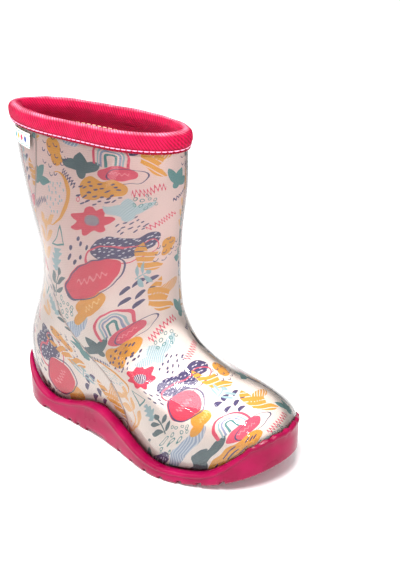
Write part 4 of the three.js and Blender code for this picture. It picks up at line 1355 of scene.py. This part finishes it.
def outsole():
    """One moulding: grooved tread, bulging side wall with a welt, and the seat that holds the shell."""
    turns = sole_columns()
    columns = len(turns)
    front = smooth(0.36, 0.43, side_turn(turns))
    ripple = 0.35 * np.sin(turns * 2 * np.pi * 43) + 0.25 * np.sin(turns * 2 * np.pi * 71 + 1)
    wall = curve_of(WALL_HEIGHTS, 1, side_turn(turns)) + front * ripple
    share_at = share_along(turns)
    tread = tread_height(share_at * SOLE_LENGTH)
    seat_edge_z = TOE_SPRING * spring_share(share_at) + wall - SEAT_BELOW_EDGE
    seat_edge_level = turning_place(lambda level: layer(turns, level, -CLEARANCE)[:, 2] > seat_edge_z,
                                    np.zeros(columns), np.full(columns, 0.4), 30)

    def ring(outset, height):
        return sole_point(turns, np.full(columns, outset), height)

    rings = [ring(outset, np.maximum(height, tread)) for outset, height in SOLE_FOOT]
    foot_top = SOLE_FOOT[-1][1]
    body = wall - WELT_BASE - foot_top
    for share in (0.2, 0.45, 0.7, 1.0):
        rings.append(ring(WALL_BULGE * math.sin(share * math.pi), foot_top + body * share))
    rings += [ring(outset, wall - drop) for outset, drop in WELT]
    rings.append(rings[-1] * 0.5 + layer(turns, seat_edge_level, -CLEARANCE) * 0.5 + [0, 0, 0.1])
    rings += [layer(turns, seat_edge_level * share, -CLEARANCE, -CLEARANCE) for share in np.linspace(1, 0, 9)]
    rings = np.stack(rings)
    quads = np.concatenate([
        grid_quads(len(rings), columns),
        cap_quads((len(rings) - 1) * columns, columns),
        cap_quads(0, columns)[:, ::-1],
    ])
    return add_piece("moulded_outsole", rings.reshape(-1, 3), quads, PVC, ["outsole"])


outsole()


# ---------------------------------------------------------------- floor and light
def floor():
    made, tree, shader = material("studio_floor", roughness=0.6)
    cloud = noise(tree, place(tree), 0.01, 2).mapped(0.3, 0.7)
    put(tree, shader.inputs["Base Color"], mix_colour(tree, cloud, linear(250, 250, 250), linear(255, 255, 255)))
    mesh = bpy.data.meshes.new("studio_floor")
    half = 2.5
    corners = [(-half, -half, 0), (half, -half, 0), (half, half, 0), (-half, half, 0)]
    mesh.from_pydata(corners, [], [(0, 1, 2, 3)])
    mesh.materials.append(made)
    ground = bpy.data.objects.new("studio_floor", mesh)
    bpy.context.scene.collection.objects.link(ground)
    ground.location.z = cad_low.z


def softbox(name, place_mm, aim_mm, width, height, power):
    light = bpy.data.lights.new(name, "AREA")
    light.shape = "RECTANGLE"
    light.size = width
    light.size_y = height
    light.energy = power
    lamp = bpy.data.objects.new(name, light)
    bpy.context.scene.collection.objects.link(lamp)
    lamp.location = to_frame(place_mm)
    aim = to_frame(aim_mm) - lamp.location
    lamp.rotation_mode = "QUATERNION"
    lamp.rotation_quaternion = aim.to_track_quat("-Z", "Y")


WORLD_STRENGTH = 0.72
floor()
world = bpy.data.worlds.new("studio")
bpy.context.scene.world = world
world.use_nodes = True
world.node_tree.nodes["Background"].inputs["Color"].default_value = (1.0, 1.0, 1.0, 1.0)
world.node_tree.nodes["Background"].inputs["Strength"].default_value = WORLD_STRENGTH
boot_middle = np.array([0.0, -90.0, 90.0])


def mirror_direction(turn, level):
    """Direction in which the shell reflects the camera's view at a place on it."""
    normal = outward(turn, level)
    view = unit(camera_target + CAMERA_DISTANCE * camera_back - last_point(turn, level))
    return 2 * normal * (view @ normal) - view


SEEN_LIGHT_DISTANCE = 900.0


def soft_light_seen_in(name, turn, level, width, height, power):
    """A softbox whose reflection lands at a place on the shell."""
    at = last_point(turn, level)
    softbox(name, at + SEEN_LIGHT_DISTANCE * mirror_direction(turn, level), at, width, height, power)


mouth_middle = boot_middle + np.array([0.0, 20.0, 110.0])
for name, aim, direction, away, size, power in (
        ("key", boot_middle, [-0.45, 0.25, 1.0], 900, 0.6, 7.5),
        ("mouth", mouth_middle, [-0.5, -0.4, 0.95], 1000, 0.25, 11.0),
        ("fill", boot_middle, [-0.9, -0.4, 0.3], 1000, 0.8, 1.2)):
    softbox(name, boot_middle + away * unit(np.array(direction)), aim, size, size, power)
for name, turn, level, width, height, power in (
        ("window", 0.375, 0.255, 0.07, 0.10, 0.8),
        ("shaft_sheen", 0.30, 0.6, 0.10, 1.3, 0.9),
        ("toe_streak", 0.43, 0.135, 0.05, 0.26, 0.8)):
    soft_light_seen_in(name, turn, level, width, height, power)
